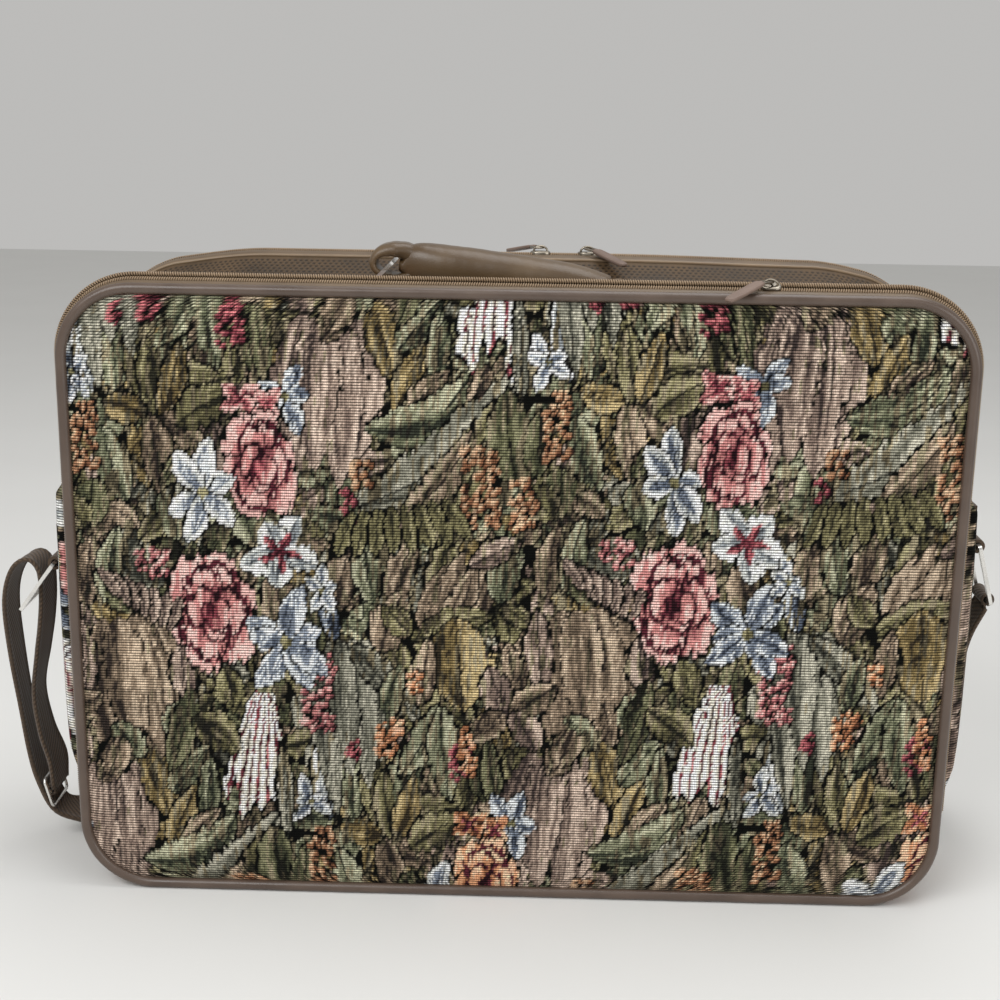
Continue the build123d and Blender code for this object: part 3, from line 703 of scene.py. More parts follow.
# A drape's folds: how far aside each starts, and its share of the length
FOLDS = ((0.62, 0.74), (-0.62, 1.06), (0.25, 0.9), (-0.22, 0.82))
MOTIFS = [
    ("leaf", 92, 392, 84, 296, 13, "frost", 0.1), ("leaf", 116, 392, 112, 286, 17, "sage", -0.05),
    ("leaf", 140, 396, 142, 300, 14, "olive", 0.1), ("leaf", 160, 402, 188, 292, 17, "sage", 0.15),
    ("leaf", 236, 384, 224, 292, 20, "olive", 0.0), ("leaf", 256, 372, 246, 296, 14, "moss", 0.1),
    ("leaf", 205, 366, 200, 300, 12, "taupe", 0.0), ("leaf", 272, 392, 258, 300, 10, "moss", 0.1),
    ("leaf", 150, 408, 228, 376, 26, "olive", 0.2), ("leaf", 148, 412, 104, 402, 15, "ochre", 0.1),
    ("leaf", 152, 402, 198, 442, 22, "taupe", -0.2), ("leaf", 150, 414, 158, 492, 15, "taupe", 0.1),
    ("leaf", 102, 426, 124, 500, 17, "sage", -0.15), ("leaf", 182, 452, 160, 486, 9, "moss", 0.2),
    ("leaf", 92, 478, 88, 528, 18, "moss", 0.0), ("leaf", 160, 494, 176, 540, 14, "sage", 0.3),
    ("leaf", 86, 606, 96, 532, 15, "taupe", 0.1), ("leaf", 108, 604, 122, 524, 13, "sage", 0.2),
    ("leaf", 180, 590, 196, 540, 10, "moss", 0.1), ("leaf", 244, 590, 246, 548, 12, "taupe", 0.0),
    ("leaf", 120, 634, 158, 588, 22, "ochre", 0.2), ("leaf", 132, 612, 110, 578, 12, "moss", 0.1),
    ("drape", 126, 616, 152, 806, 40, "taupe", 7), ("leaf", 190, 700, 182, 640, 14, "mauve", 0.1),
    ("leaf", 176, 744, 196, 690, 18, "sage", 0.25), ("leaf", 236, 706, 226, 664, 16, "olive", 0.1),
    ("leaf", 268, 716, 280, 664, 14, "moss", 0.1), ("drape", 330, 316, 322, 512, 42, "mauve", 7),
    ("leaf", 372, 300, 392, 376, 19, "ochre", 0.1), ("leaf", 398, 352, 440, 300, 16, "sage", 0.1),
    ("leaf", 396, 420, 424, 346, 14, "ochre", 0.15), ("leaf", 436, 392, 440, 312, 11, "sage", 0.0),
    ("leaf", 404, 424, 446, 372, 12, "taupe", 0.2), ("leaf", 366, 430, 462, 378, 24, "sage", -0.75),
    ("leaf", 356, 506, 508, 372, 30, "grey", -0.45), ("leaf", 442, 552, 490, 402, 24, "olive", -0.1),
    ("leaf", 400, 520, 470, 430, 16, "taupe", -0.3), ("fan", 264, 692, 250, 842, 34, "cream", "wine", 7),
    ("leaf", 522, 400, 518, 300, 8, "grey", 0.0), ("leaf", 516, 486, 506, 392, 22, "moss", 0.1),
    ("leaf", 536, 478, 540, 412, 14, "moss", 0.0), ("leaf", 336, 612, 352, 540, 16, "taupe", 0.1),
    ("leaf", 374, 604, 362, 530, 14, "sage", 0.1), ("leaf", 392, 608, 416, 536, 15, "taupe", 0.2),
    ("leaf", 440, 616, 448, 540, 20, "olive", 0.0), ("drape", 440, 640, 476, 536, 26, "taupe", 5),
    ("leaf", 500, 604, 508, 540, 16, "sage", 0.0), ("leaf", 412, 640, 492, 612, 15, "olive", 0.2),
    ("leaf", 456, 618, 464, 716, 32, "ochre", 0.0), ("leaf", 520, 700, 506, 640, 13, "taupe", 0.1),
    ("leaf", 540, 690, 536, 606, 15, "mauve", 0.0), ("leaf", 400, 676, 368, 626, 14, "olive", 0.1),
    ("leaf", 420, 706, 428, 634, 13, "taupe", 0.0), ("drape", 346, 640, 362, 828, 28, "grey", 7),
    ("leaf", 348, 644, 420, 726, 15, "grey", 0.15), ("leaf", 388, 720, 402, 660, 12, "sage", 0.2),
    ("leaf", 380, 652, 404, 588, 20, "taupe", 0.1), ("leaf", 410, 634, 384, 604, 14, "olive", 0.1),
    ("leaf", 508, 716, 488, 664, 17, "mauve", 0.1), ("leaf", 510, 714, 556, 684, 16, "taupe", 0.1),
    ("leaf", 504, 712, 470, 742, 15, "taupe", 0.1), ("leaf", 512, 712, 540, 754, 15, "mauve", 0.1),
    ("leaf", 548, 776, 592, 716, 18, "taupe", 0.2), ("leaf", 566, 716, 596, 752, 14, "sage", 0.1),
    ("leaf", 440, 704, 400, 784, 15, "sage", 0.15), ("leaf", 442, 706, 450, 808, 16, "sage", -0.1),
    ("leaf", 392, 838, 384, 764, 13, "olive", 0.1), ("leaf", 396, 838, 416, 768, 13, "ochre", -0.1),
    ("leaf", 410, 848, 464, 812, 20, "olive", 0.2), ("leaf", 192, 688, 168, 778, 15, "moss", 0.1),
    ("leaf", 194, 716, 240, 754, 19, "olive", 0.2), ("leaf", 346, 288, 330, 330, 16, "taupe", 0.1),
    ("leaf", 336, 640, 326, 588, 10, "blue", 0.1), ("leaf", 318, 660, 300, 590, 14, "moss", 0.1),
    ("leaf", 552, 520, 530, 484, 17, "olive", 0.1), ("leaf", 470, 566, 520, 540, 12, "mauve", 0.1),
    ("berries", 84, 438, 26, 72, "berry"), ("berries", 480, 488, 38, 84, "berry"),
    ("berries", 524, 505, 30, 56, "berry"), ("berries", 362, 474, 18, 26, "berry"),
    ("berries", 150, 562, 38, 30, "pink"), ("berries", 318, 690, 34, 90, "pink"),
    ("berries", 112, 312, 10, 26, "wine"), ("berries", 152, 304, 14, 26, "pink"),
    ("berries", 226, 326, 24, 44, "wine"), ("berries", 350, 508, 12, 34, "wine"),
    ("berries", 414, 682, 13, 26, "fruit"), ("berries", 390, 738, 26, 42, "fruit"),
    ("berries", 467, 750, 16, 56, "fruit"), ("star", 548, 362, 26, 5, 0.5, "frost"),
    ("star", 285, 396, 34, 5, 1.2, "blue"), ("flower", 240, 398, 22, "bloom", 4, 0.7, 0.85),
    ("flower", 266, 404, 20, "bloom", 4, 0.7, 0.85), ("rose", 259, 466, 68, 98, "bloom"),
    ("rose", 212, 612, 84, 112, "pink"), ("star", 203, 492, 44, 6, 0.3, "frost"),
    ("flower", 280, 552, 40, "frost", 5, 0.9, 1.1), ("star", 286, 642, 50, 7, 0.5, "blue"),
    ("star", 322, 590, 22, 5, 0.2, "frost"), ("fern", 352, 512, 446, 496, 8, 52, "olive"),
    ("fern", 180, 596, 96, 566, 7, 40, "mauve"),
]


def lay_motif(cloth, number, u, v, odd):
    """Lay one motif with its first point at (u, v); odd says which drop it is on."""
    def dyed(name):
        return CHANGING.get(name, (name, name))[odd]

    kind, px, py, *rest = MOTIFS[number]
    if kind in ("leaf", "drape", "fan", "fern"):
        end_x, end_y, *rest = rest
        du, dv = (end_x - px) / PIXEL, (py - end_y) / PIXEL
        way, long = math.atan2(dv, du), math.hypot(du, dv)
    if kind == "leaf":
        half, palette, bend = rest
        cloth.petal(u, v, way, long * 1.06, half / PIXEL, palette, bend, streaks=4.0, mixed=0.38)
    elif kind == "drape":
        half, palette, streaks = rest
        half /= PIXEL
        for fold, share in FOLDS:
            aside = u - fold * half * math.sin(way), v + fold * half * math.cos(way)
            cloth.petal(*aside, way + 0.08 * fold, long * share, half * 0.56, palette, 0.2 * fold, 0.72, 0.1, False,
                        streaks, 0.8, 0.12)
    elif kind == "fan":
        half, palette, second, stripes = rest
        cloth.fan(u, v, way, long, half / PIXEL, palette, second, stripes)
    elif kind == "fern":
        count, size, palette = rest
        size /= PIXEL
        for k in range(count):
            share = k / (count - 1)
            cloth.petal(u + du * share, v + dv * share, -1.9 + 0.9 * share, size, size * 0.15, palette, 0.1)
    elif kind == "berries":
        wide, high, palette = rest
        cloth.berries(u, v, wide / PIXEL, high / PIXEL, dyed(palette), number)
    elif kind == "rose":
        wide, high, palette = rest
        cloth.rose(u, v, wide / PIXEL, high / PIXEL, dyed(palette))
    elif kind == "star":
        size, petals, turned, palette = rest
        cloth.star(u, v, size / PIXEL, petals, turned, palette)
    elif kind == "flower":
        size, palette, petals, turned, lean = rest
        cloth.flower(u, v, size / PIXEL, dyed(palette), petals, turned, lean)


def paint(layout, shift=(0.0, 0.0)):
    """Colours of a layout's points: the leafy ground and then every motif, repeated with a half drop."""
    cloth = Cloth(layout[:, 0], layout[:, 1])
    for u0, v0, *leaf in FIELD:
        for u, v, _ in cloth.repeats(u0, v0, shift):
            cloth.petal(u, v, *leaf, streaks=3.5, mixed=0.42)
    for number, motif in enumerate(MOTIFS):
        for u, v, odd in cloth.repeats(*spot(motif[1], motif[2]), shift):
            lay_motif(cloth, number, u, v, odd)
    return cloth.finish()


# Front and rear panels

def rounded_sheet(inset, columns, rows):
    """Places x and z of a sheet with the case's outline less an inset, and how far each is from its edge."""
    low, high, radius = inset, HEIGHT - inset, RADIUS - inset
    z = np.linspace(low, high, rows)
    over = np.clip(np.maximum(low + radius - z, z - (high - radius)) / radius, 0, 1)
    reach = HALF - inset - radius + radius * np.sqrt(np.clip(1 - over ** 2, 0, 1))
    x = np.linspace(-1, 1, columns)[None, :] * reach[:, None]
    z = np.repeat(z[:, None], columns, axis=1)
    return x, z, np.minimum(reach[:, None] - np.abs(x), np.minimum(z - low, high - z))


def panel(name, side, columns, rows, body, hides, shift=(0.0, 0.0)):
    """Taut cloth inside the piping, a little full in the middle and drawn in at the edge."""
    x, z, edge = rounded_sheet(5.6, columns, rows)
    full = 1 - np.exp(-np.clip(edge, 0, None) / 7.0)
    ripple = 0.35 * (value_noise(x / 34 + 9, z / 46 + 3, 31) - 0.5) * full
    points = rows_of(x, side * (71.2 + 2.6 * full + ripple), z)
    layout = rows_of(-side * x, z)
    faces = grid_faces(rows, columns, flip=side > 0)
    make_piece(name, points, faces, TAPESTRY, body, layout, paint(layout, shift), hides)


panel("front_cloth", -1, 440, 220, "front_lid", ["front_panel"])
panel("rear_cloth", 1, 300, 160, "rear_lid", ["rear_panel"], (61.0, 40.0))


def divider(columns=70, rows=60, place=16.2, thickness=1.6):
    """The stiff cloth between the two compartments."""
    x, z, _ = rounded_sheet(7.5, columns, rows)
    front = rows_of(x, place, z)
    count = len(front)
    edge = [*range(columns), *range(2 * columns - 1, count, columns), *range(count - 2, count - columns - 1, -1),
            *range(count - 2 * columns, 0, -columns)]
    faces = grid_faces(rows, columns) + grid_faces(rows, columns, start=count, flip=True)
    faces += [[b, a, a + count, b + count] for a, b in zip(edge, edge[1:] + edge[:1])]
    make_piece("divider_cloth", np.vstack([front, front + (0, thickness, 0)]), faces, LINING, "case",
               hides=["divider_panel"])


divider()

# Piping round both faces
for name, side in (("front", -1), ("rear", 1)):
    route = ring_path(WIDTH - 2 * PIPING, HEIGHT - 2 * PIPING, RADIUS - PIPING, HEIGHT / 2, 3.5)
    wobble = 1 + 0.025 * np.sin(np.arange(len(route)) * 0.9) * np.sin(np.arange(len(route)) * 0.37)
    centres = rows_of(route[:, 0], side * PIPING_PLACE, route[:, 1])
    tube(name + "_welt", centres, 16, PIPING * wobble, VINYL, name + "_lid", [name + "_piping"], True)

# Strips over the top: the sunk cloth, the embossed band and the bead
VALLEY = [(-49.1, -2.9), (-44, -6.2), (-36, -11.5), (-26, -15.4), (-18, -16), (2, -16), (10, -15.2), (17, -4)]
SLOPE = [(17.3, -4), (37.2, 5.4)]
strip("valley_cloth", dense(VALLEY, 1.7), over_top_path(SIDE_SEAM, 2.4), 1.6, TAPESTRY, "case",
      ["top_gusset"], (30, 95))


def dimples(along, across):
    """Rows of pressed pits, every other row set half a step on."""
    row = np.floor(across / PIT_ROW)
    u = (along + 0.5 * PIT_STEP * (row % 2)) % PIT_STEP - PIT_STEP / 2
    v = across % PIT_ROW - PIT_ROW / 2
    return -0.95 * np.exp(-(u * u + v * v) / 0.9) * (across < PIT_END)


strip("embossed_band", dense(SLOPE, 0.8), over_top_path(SIDE_SEAM, 1.0), 1.6, BAND, "case", ["trim_band"],
      lift=dimples)
tube("bead_cord", beside(over_top_path(SIDE_SEAM, 2.0), 38.4, 6.0), 10, 1.15, BEAD, "case", ["trim_bead"])

# Side gussets: the cloth bellies out between its seams
BELLY = [(51, 0), (62, 6.5), (80, 13.2), (100, 17.6), (122, 20.8), (144, 22), (170, 21.4), (200, 18.8), (225, 16.2),
         (246, 14.1), (254, 7.5), (258, 0)]


def side_belly(side, name, hides, shift):
    """Side cloth by its rise over the height (BELLY), drawn in at the seams along its front and rear edges."""
    front, rear = -48.5, 39.3
    y = np.concatenate([[-49.2], np.linspace(front, rear, 60), [39.9]])
    z = np.concatenate([[50.4], np.linspace(51.0, SIDE_SEAM, 126), [258.4, 258.8]])
    yy, zz = np.meshgrid(y, z)
    rise = np.interp(zz, *np.array(BELLY, dtype=float).T)
    edge = np.clip(np.minimum(yy - front, rear - yy), 0, None)
    mid = 1 - ((yy + 4.6) / 43.9) ** 2
    across = np.where(edge < 5, edge / 5 * 13.2, 13.2 + 8.8 * np.clip(mid - 0.21, 0, 1) / 0.79)
    out = np.minimum(rise, across) - 0.8 * np.exp(-np.abs(rise - across) / 1.6)
    out = np.clip(out, 0.2, None) + 0.25
    out = np.where(yy > 38.5, np.maximum(out, 6.2), np.where(yy < -49, -3.0, out))
    # The end rows close the belly down to the lower cloth and to the strips that run over the top
    strips = np.interp(yy, *np.array([(front, -2.6), *VALLEY[1:], SLOPE[1], (rear, 6.2)]).T)
    out = np.where(zz > 258.2, strips - 0.8, np.where(zz < 50.8, -0.8, out))
    layout = rows_of(-side * yy, zz)
    faces = grid_faces(len(z), len(y), flip=side < 0)
    make_piece(name, rows_of(side * (HALF + out), yy, zz), faces, TAPESTRY, "case", layout,
               paint(layout, (shift, 20.0)), hides)


side_belly(-1, "left_belly_cloth", ["side_gusset_left"], 110.0)
side_belly(1, "right_belly_cloth", ["side_gusset_right"], 30.0)

# Lower gusset: round the bottom from side to side
low_path = over_top_path(HEIGHT - ZIP_START, 2.6)
low_path[:, 1] = HEIGHT - low_path[:, 1]
low_path[:, 3] = -low_path[:, 3]
strip("lower_cloth", dense([(68.3, 0), (-68.3, 0)], 2.4), low_path, 2.2, TAPESTRY, "case",
      ["lower_gusset"], (12, 60))

# Zips: tapes, and a wire turned round a cord for each half of a chain

def coil(name, place, out, start, body, hides, hand, size):
    """Half a chain at a place along Y, which dives into the seam at both ends."""
    path = over_top_path(start, 1.0)
    pitch, steps = 1.4, 6
    length = path[-1, 4]
    count = int(length / pitch * steps)
    run = np.linspace(0, length, count)
    wire = np.column_stack([np.interp(run, path[:, 4], path[:, k]) for k in range(4)])
    turn = np.arange(count) * 2 * math.pi / steps

    def height(run):
        return out - (out + 2.0) * tucked(run)

    centres = beside(wire, place + hand * size * np.cos(turn), height(run) + size * np.sin(turn))
    tube(name, centres, 4, 0.52, COIL, body, hides, guide=rows_of(wire[:, 2], 0.0, wire[:, 3]))
    cord = beside(path, place, height(path[:, 4]))
    tube(name + "_cord", cord[::3], 6, size, TAPE, body)


coil("front_lid_teeth", -61.0, 0.8, LID_ZIP_START, "front_lid", ["front_zip_lid_coil"], -1, 1.3)
coil("front_body_teeth", -57.0, 3.4, ZIP_START, "case", ["front_zip_body_coil"], 1, 1.3)
coil("rear_lid_teeth", 53.85, 8.0, LID_ZIP_START, "rear_lid", ["rear_zip_lid_coil"], 1, 1.05)
coil("rear_body_teeth", 50.15, 8.0, ZIP_START, "case", ["rear_zip_body_coil"], -1, 1.05)

for name, line, start, body in (
        ("front_zip_lid_tape", [(-68.5, -2.4), (-66.6, -0.6), (-65.2, 0.4), (-63, 0.7)], LID_ZIP_START, "front_lid"),
        ("front_zip_body_tape", [(-55.4, 3.6), (-53.2, 3.0), (-51.4, 1.2), (-48.9, -2.6)], ZIP_START, "case"),
        ("rear_zip_body_tape", [(39.8, 6.6), (42, 7.7), (45, 8.5), (48.6, 8.1)], ZIP_START, "case"),
        ("rear_zip_lid_tape", [(55.4, 8.1), (58.3, 8.2), (63.4, 3.4), (68.5, -2.4)], LID_ZIP_START, "rear_lid")):
    strip(name.replace("zip", "sewn"), dense(line, 1.2), over_top_path(start, 2.4), 0.9, FACING, body,
          [name], tuck=True)

# Shoulder strap: flat webbing through stations (place, then width direction), in the pose of the photograph
STRAP = [
    (298.9, 0, 177.8, 0, 1, 0), (291, 8.2, 151, 0, 0.97, 0.22), (293.6, 27.8, 106, 0.1, 0.9, 0.43),
    (292.5, 50.2, 62.9, 0.35, 0.7, 0.6), (288.1, 69.8, 28.9, 0.75, 0.4, 0.5), (281.5, 88.6, 8.1, 0.93, 0.35, 0.1),
    (269.4, 107.8, 1.9, 0.7, 0.7, 0), (239.9, 119.2, 1.6, 0.25, 0.97, 0), (204.9, 123.8, 1.6, 0, 1, 0),
    (84.6, 122.2, 1.6, 0, 1, 0), (-84.6, 124.5, 1.6, 0, 1, 0), (-204.9, 123.8, 1.6, 0, 1, 0),
    (-235.1, 120.8, 1.6, -0.25, 0.97, 0), (-262, 112.4, 1.6, -0.7, 0.7, 0), (-273.6, 89, 1.7, -0.97, 0.25, 0),
    (-272, 61, 2.1, -1, 0, 0), (-268, 35, 3.2, -0.9, 0.4, 0.1), (-275, 16, 8, -0.6, 0.75, 0.25),
    (-287, 4.5, 14.5, -0.1, 0.97, 0.2), (-300.4, 0, 21.6, 0.1, 0.99, 0), (-309.4, 0, 40, 0.1, 0.99, 0),
    (-314.8, 0, 60, 0.05, 1, 0), (-319.6, 0, 94, 0, 1, 0), (-323.4, 0, 128.8, 0.04, 1, 0),
    (-325.2, 0, 160, 0.06, 1, 0), (-322.6, 0, 178, 0.08, 1, 0), (-316.2, 0, 190, 0.12, 0.99, 0),
    (-307.6, 0, 193.8, 0.12, 0.99, 0), (-301.4, 0, 187, 0.1, 0.99, 0), (-300.6, 0, 170, 0.1, 0.99, 0),
    (-302.6, 0, 150, 0.1, 0.99, 0), (-306, 0, 130, 0.08, 1, 0), (-310.4, 0, 102, 0, 1, 0),
    (-307, 0, 75, 0.06, 1, 0), (-300.8, 0, 54, 0.15, 0.99, 0), (-300.1, 0, 36, 0.1, 0.99, 0),
]


def smooth_through(stations, step):
    """Catmull-Rom points through stations, about a step apart."""
    s = np.asarray(stations, dtype=float)
    s = np.vstack([2 * s[0] - s[1], s, 2 * s[-1] - s[-2]])
    rows = []
    for i in range(1, len(s) - 2):
        count = max(2, int(np.linalg.norm(s[i + 1, :3] - s[i, :3]) / step))
        for k in range(count):
            t = k / count
            rows.append(0.5 * (2 * s[i] + (s[i + 1] - s[i - 1]) * t
                               + (2 * s[i - 1] - 5 * s[i] + 4 * s[i + 1] - s[i + 2]) * t * t
                               + (3 * s[i] - s[i - 1] - 3 * s[i + 1] + s[i + 2]) * t ** 3))
    rows.append(s[-2])
    return np.array(rows)


def ribbon(name, rows, width, thickness, hides=()):
    """Flat webbing with rounded edges: rows are places and width directions."""
    centres = rows[:, :3]
    tangent = unit(np.gradient(centres, axis=0))
    side = squared(rows[:, 3:6], tangent)
    face = np.cross(tangent, side)
    w, h = width / 2, thickness / 2
    edge = [(-w, 0), (-w + 0.35, h * 0.85), (-w + 1.6, h * 1.15), (-w + 2.6, h * 0.8), (-w / 2, h * 0.95)]
    top = edge + [(0, h)] + [(-a, b) for a, b in edge[::-1]]
    section = np.array(top + [(a, -b) for a, b in top[-2:0:-1]])
    points = centres[:, None, :] + section[None, :, :1] * side[:, None, :] + section[None, :, 1:] * face[:, None, :]
    layout = rows_of(lengths(centres)[:, None], lengths(section)[None, :])
    make_piece(name, points.reshape(-1, 3), capped_faces(len(rows), len(section)), WEBBING, "case", layout,
               None, hides)


def loop_rows(x, z, radius, start, sweep=350):
    """Stations of a sewn loop about a bar along Y."""
    angle = np.radians(np.linspace(start, start + sweep, 26))
    return rows_of(x + radius * np.cos(angle), 0.0, z + radius * np.sin(angle), 0.0, 1.0, 0.0)


ribbon("strap_webbing", smooth_through(STRAP, 3.0), 25.0, 2.6, ["shoulder_strap"])
ribbon("strap_ring_loop", loop_rows(298.9, 181.2, 3.45, -90), 23.0, 1.6)
ribbon("strap_slide_loop", loop_rows(-303, 35, 2.8, 0), 23.0, 1.6)

# Slide of the strap: a bent wire frame with a middle bar
SLIDE, LEAN = (-303.0, 35.0), math.radians(105)


def slide_point(along, across):
    return rows_of(SLIDE[0] + along * math.cos(LEAN), across, SLIDE[1] + along * math.sin(LEAN))


bend = ring_path(19.4, 31.4, 3.2, 0.0, 1.5)
tube("strap_slide_frame", slide_point(bend[:, 0], bend[:, 1]), 10, 1.15, CHROME, "case", ["strap_slide"],
     closed=True, guide=(-math.sin(LEAN), 0.0, math.cos(LEAN)))
tube("strap_slide_bar", slide_point(0.0, np.linspace(-15.4, 15.4, 9)), 10, 1.15, CHROME, "case",
     guide=(1.0, 0.0, 0.0))

# Padded handle: stuffed vinyl, drawn in to a sewn loop at each end
LEFT_BAR = np.array((-75.8585, -8.0, 385.9599))
TILT = math.radians(-6.6144)
SPAN = 135.1  # from the left ring's bar to the right one's


def handle_point(along, across, up):
    """A point of the handle's own frame in the case's frame."""
    c, s = math.cos(TILT), math.sin(TILT)
    return rows_of(LEFT_BAR[0] + along * c - up * s, LEFT_BAR[1] + across, LEFT_BAR[2] + along * s + up * c)


def rolled_loop(name, centre, outer, inner, sunk=0.0, half=11.0, sides=64):
    """A rolled loop across the handle between two outlines (along, up); sunk narrows it where it meets the pad."""
    turn = np.linspace(0, 2 * math.pi, sides + 1)[:-1]

    def reach(outline):
        away = np.asarray(outline, dtype=float) - centre
        angle, far = np.arctan2(away[:, 1], away[:, 0]), np.hypot(away[:, 0], away[:, 1])
        return np.interp(turn, angle, far, period=2 * math.pi)[:, None]

    near, far = reach(inner), reach(outer)
    rim = np.array([(0, 2.0), (0.08, 0.8), (0.3, 0.05), (0.58, 0.3), (0.84, 1.6), (1, 4.2)])
    share = np.concatenate([rim[:, 0], rim[::-1, 0]])[None, :]
    across = np.concatenate([rim[:, 1] - half, half - rim[::-1, 1]])[None, :]
    across = across * (1 - sunk * np.clip(np.cos(turn), 0, 1))[:, None]
    radius = near + (far - near) * share
    points = handle_point(centre[0] + radius * np.cos(turn)[:, None], across,
                          centre[1] + radius * np.sin(turn)[:, None])
    faces = grid_faces(sides, 2 * len(rim), close_rows=True, close_columns=True)
    make_piece(name, points, faces, GRIP, "handle", rows_of((turn * 9)[:, None], across))


def handle_pad(sides=40):
    """Stuffed grip by stations (along, half width, top, bottom), with a seam below."""
    stations = [(4.2, 6.5, 2.8, -5), (6.4, 8, 3.4, -6.2), (8.2, 8.2, 9.6, -8), (10.4, 9.2, 11.8, -9.3),
                (15, 11, 13.2, -10), (20, 12.4, 13.7, -10.4), (28, 13.6, 14.1, -10.6), (40, 14, 14.3, -10.8),
                (65, 14, 14.2, -10.8), (92, 14, 13.7, -10.2), (108, 13.8, 13, -8.6), (118, 13, 11.7, -6.8),
                (126, 11.8, 10, -5.4), (131.4, 10.8, 8.7, -4.6)]
    rows = smooth_through([(a, 0, 0, w, up, low) for a, w, up, low in stations], 2.2)
    along, half, top, low = (rows[:, k:k + 1] for k in (0, 3, 4, 5))
    turns = np.linspace(0, 2 * math.pi, sides, endpoint=False)[None, :]
    c, s = (np.sign(w) * np.abs(w) ** 0.85 for w in (np.cos(turns), np.sin(turns)))
    pucker = 1 + 0.01 * np.sin(along * 0.8) * np.cos(3 * turns) + 0.008 * np.sin(along * 0.23 + 2 * turns)
    seam = 1 - 0.07 * np.exp(-((turns - 1.5 * math.pi) / 0.09) ** 2)
    points = handle_point(along, half * c * pucker, (top + low) / 2 + (top - low) / 2 * s * seam * pucker)
    piece = make_piece("handle_pad", points, capped_faces(len(rows), sides), GRIP, "handle",
                       rows_of(along, turns * 13), None, ["handle_grip"])


handle_pad()
rolled_loop("handle_loop_left", np.array((1.5, -1.5)),
            [(-13.9, -1.5), (-13.2, 2.6), (-11.2, 6.4), (-8, 9), (-3.5, 10.9), (3, 12), (8, 12.2), (12, 11), (15, 8),
             (16.6, 3), (16.6, -4), (14.5, -7), (10, -8.8), (5, -9.6), (0, -9.8), (-5.5, -9.4), (-9.8, -7.8),
             (-12.6, -5)],
            [(-9.6, -1.5), (-9, 0.6), (-7, 2.4), (-3, 3.3), (1.5, 3.5), (6, 3), (10.5, 1), (14.4, -1.8), (11, -4),
             (6, -5.6), (0, -6.4), (-5, -5.8), (-8.4, -4)], 0.28)
ROUND = np.radians(np.arange(0, 360, 12))
FULL = 6.2 + 2.0 * np.exp(-((ROUND - 0.95) / 0.7) ** 2)
rolled_loop("handle_loop_right", np.array((SPAN, 0.0)),
            *(rows_of(SPAN + far * np.cos(ROUND), far * np.sin(ROUND)) for far in (FULL, 3.6)))

# Sliders and pulls: a bridged shield over the chain, a wire bail and a stitched tab

def zip_slider(node, x, y, z, lean):
    """A shield-shaped slider with its bridge, leaning towards -Y by an angle."""
    outline = smooth_through([(-6.4, 0, 0), (-6, 1.6, 0), (-3.6, 4, 0), (0, 4.5, 0), (3.4, 4.3, 0), (5.8, 3, 0),
                              (6.3, 1.2, 0), (6.3, 0, 0)], 0.8)
    outline = np.vstack([outline, (outline * (1, -1, 1))[-2:0:-1]])
    levels = [(0.82, -1.9), (0.98, -1.5), (1, -0.9), (1, 0.6), (0.96, 1.1), (0.84, 1.35), (0.4, 1.5)]
    flat = np.concatenate([rows_of(*(outline[:, :2] * share).T, up) for share, up in levels])
    c, s = math.cos(lean), math.sin(lean)
    points = rows_of(x + flat[:, 0], y + flat[:, 1] * c - flat[:, 2] * s, z + flat[:, 1] * s + flat[:, 2] * c)
    faces = capped_faces(len(levels), len(outline))
    make_piece(node + "_shield", points, faces, ZIP_METAL, node, hides=[node])
    arch = smooth_through([(-4.4, 0, 0.8), (-4, 0, 2.6), (-2.2, 0, 4.1), (0, 0, 4.5), (2.2, 0, 4.1), (4, 0, 2.6),
                           (4.4, 0, 0.8)], 0.7)
    arch = rows_of(x + arch[:, 0], y - arch[:, 2] * s, z + arch[:, 2] * c)
    tube(node + "_bridge", arch, 10, 0.85, ZIP_METAL, node, squeeze=0.8)


def zip_pull(node, hinge, heading, droop, sag):
    """A wire bail on the hinge bar and a flat stitched tab that hangs from it."""
    a, b, c = (math.radians(angle) for angle in (heading, droop, sag))

    def placed(local):
        far, aside, up = np.asarray(local, dtype=float).T
        x, z = far * math.cos(b) + up * math.sin(b), -far * math.sin(b) + up * math.cos(b)
        return rows_of(hinge[0] + x * math.cos(a) - aside * math.sin(a),
                       hinge[1] + x * math.sin(a) + aside * math.cos(a), hinge[2] + z)

    arm = [(12, 1.7, 0), (8, 2.5, 0.2), (2.4, 2.9, 0), (0.5, 2.4, 0), (0, 1.2, 0)]
    wire = smooth_through(arm + [(x, -y, z) for x, y, z in arm[::-1]], 0.7)
    tube(node + "_bail", placed(wire), 8, 0.72, ZIP_METAL, node, guide=(0.0, 0.0, 1.0))
    rows = smooth_through([(9.6, 2.5, 0), (10.6, 3.3, 0), (14, 3.8, 0), (26, 3.9, 0), (36, 3.6, 0), (40.4, 3, 0),
                           (42, 1.9, 0)], 1.0)
    half = [(1, 0), (0.97, 0.7), (0.88, 1.05), (0.78, 0.95), (0.72, 0.66), (0.66, 0.95), (0.4, 1.1), (0, 1.15)]
    top = half + [(-w, h) for w, h in half[-2::-1]]
    section = np.array(top + [(w, -h) for w, h in top[-2:0:-1]])
    start = 11
    reach, lift = rows[:, 0:1] - start, section[None, :, 1]
    aside = rows[:, 1:2] * section[None, :, 0]
    flat = rows_of(start + reach * math.cos(c) + lift * math.sin(c), aside, lift * math.cos(c) - reach * math.sin(c))
    make_piece(node + "_tab", placed(flat), capped_faces(len(rows), len(section)), PULL, node,
               rows_of(reach, aside), hides=[node])


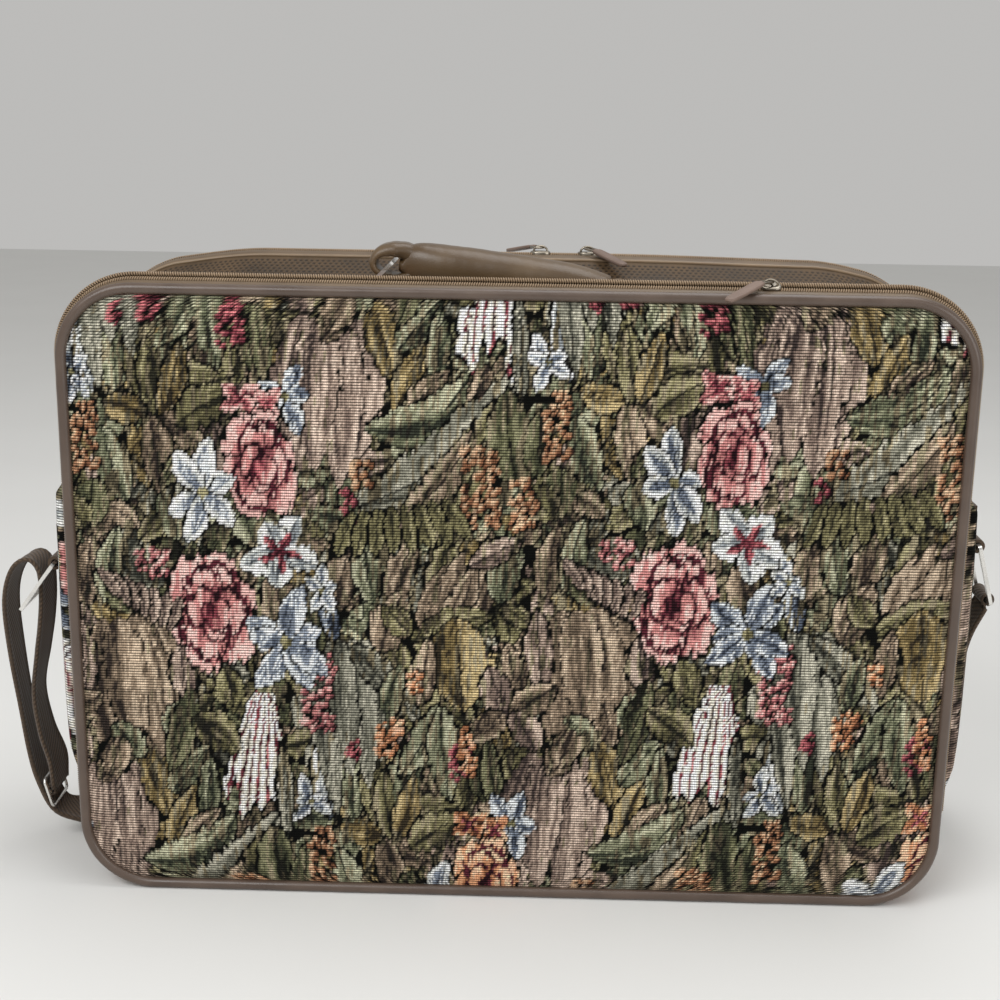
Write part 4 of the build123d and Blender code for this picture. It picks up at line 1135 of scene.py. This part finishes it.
zip_slider("front_slider", 144.0, -59.6, 380.6, math.radians(22))
zip_slider("rear_slider_left", 13.0, 52.0, 386.9, 0.0)
zip_slider("rear_slider_right", 43.0, 52.0, 386.9, 0.0)
zip_pull("front_pull", (144.0, -58.5, 383.4), 229, 1.5, 12)
zip_pull("rear_pull_left", (13.0, 52.0, 390.4), 120, 1.5, 8)
zip_pull("rear_pull_right", (43.0, 52.0, 390.4), 302, 5, 6)

# CAD nodes that stay, with their materials
RINGS = ["handle_ring_left", "handle_ring_right", "strap_ring_left", "strap_ring_right"]
for material, names in (
        (LINING, ["front_lining", "rear_lining"]), (BOARD, ["bottom_board", "handle_plate"]),
        (CHROME, RINGS + ["handle_rivets"]), (GRIP, ["handle_chape_left", "handle_chape_right"]),
        (WEBBING, ["strap_chape_left", "strap_chape_right"])):
    for node in names:
        nodes[node].data.materials.clear()
        nodes[node].data.materials.append(material)
for node in RINGS:
    bevel = nodes[node].modifiers.new("rounded", "BEVEL")
    bevel.width = 0.0006
    bevel.segments = 3

# Floor and light, in metres
FLOOR = (226, 226, 224)
n = Nodes("floor")
n.set(colour=n.mix(n.noise(n.place(), 6.0, 2.0, 0.5), rgba(FLOOR), rgba([c - 4 for c in FLOOR])), rough=0.9,
      specular=0.1)
mesh = bpy.data.meshes.new("floor")
mesh.from_pydata([(-4, -3, 0), (4, -3, 0), (4, 4, 0), (-4, 4, 0)], [], [(0, 1, 2, 3)])
mesh.materials.append(n.material)
sheet = bpy.data.objects.new("floor", mesh)
scene.collection.objects.link(sheet)

world = bpy.data.worlds.new("studio")
world.use_nodes = True
world.node_tree.nodes["Background"].inputs[0].default_value = (0.92, 0.91, 0.89, 1)
world.node_tree.nodes["Background"].inputs[1].default_value = 0.55
scene.world = world


def lamp(name, place, aim, size, power):
    data = bpy.data.lights.new(name, "AREA")
    data.shape = "RECTANGLE"
    data.size, data.size_y = size
    data.energy = power
    light = bpy.data.objects.new(name, data)
    light.location = place
    light.rotation_euler = (Vector(aim) - Vector(place)).to_track_quat("-Z", "Y").to_euler()
    scene.collection.objects.link(light)


lamp("key", (-0.9, -1.3, 1.5), (0, 0, 0.2), (1.2, 1.0), 22)
lamp("top", (0.3, 0.1, 1.7), (0, 0, 0.3), (1.4, 1.0), 12)
lamp("fill", (1.3, -1.2, 0.7), (0, 0, 0.2), (1.0, 1.0), 8)
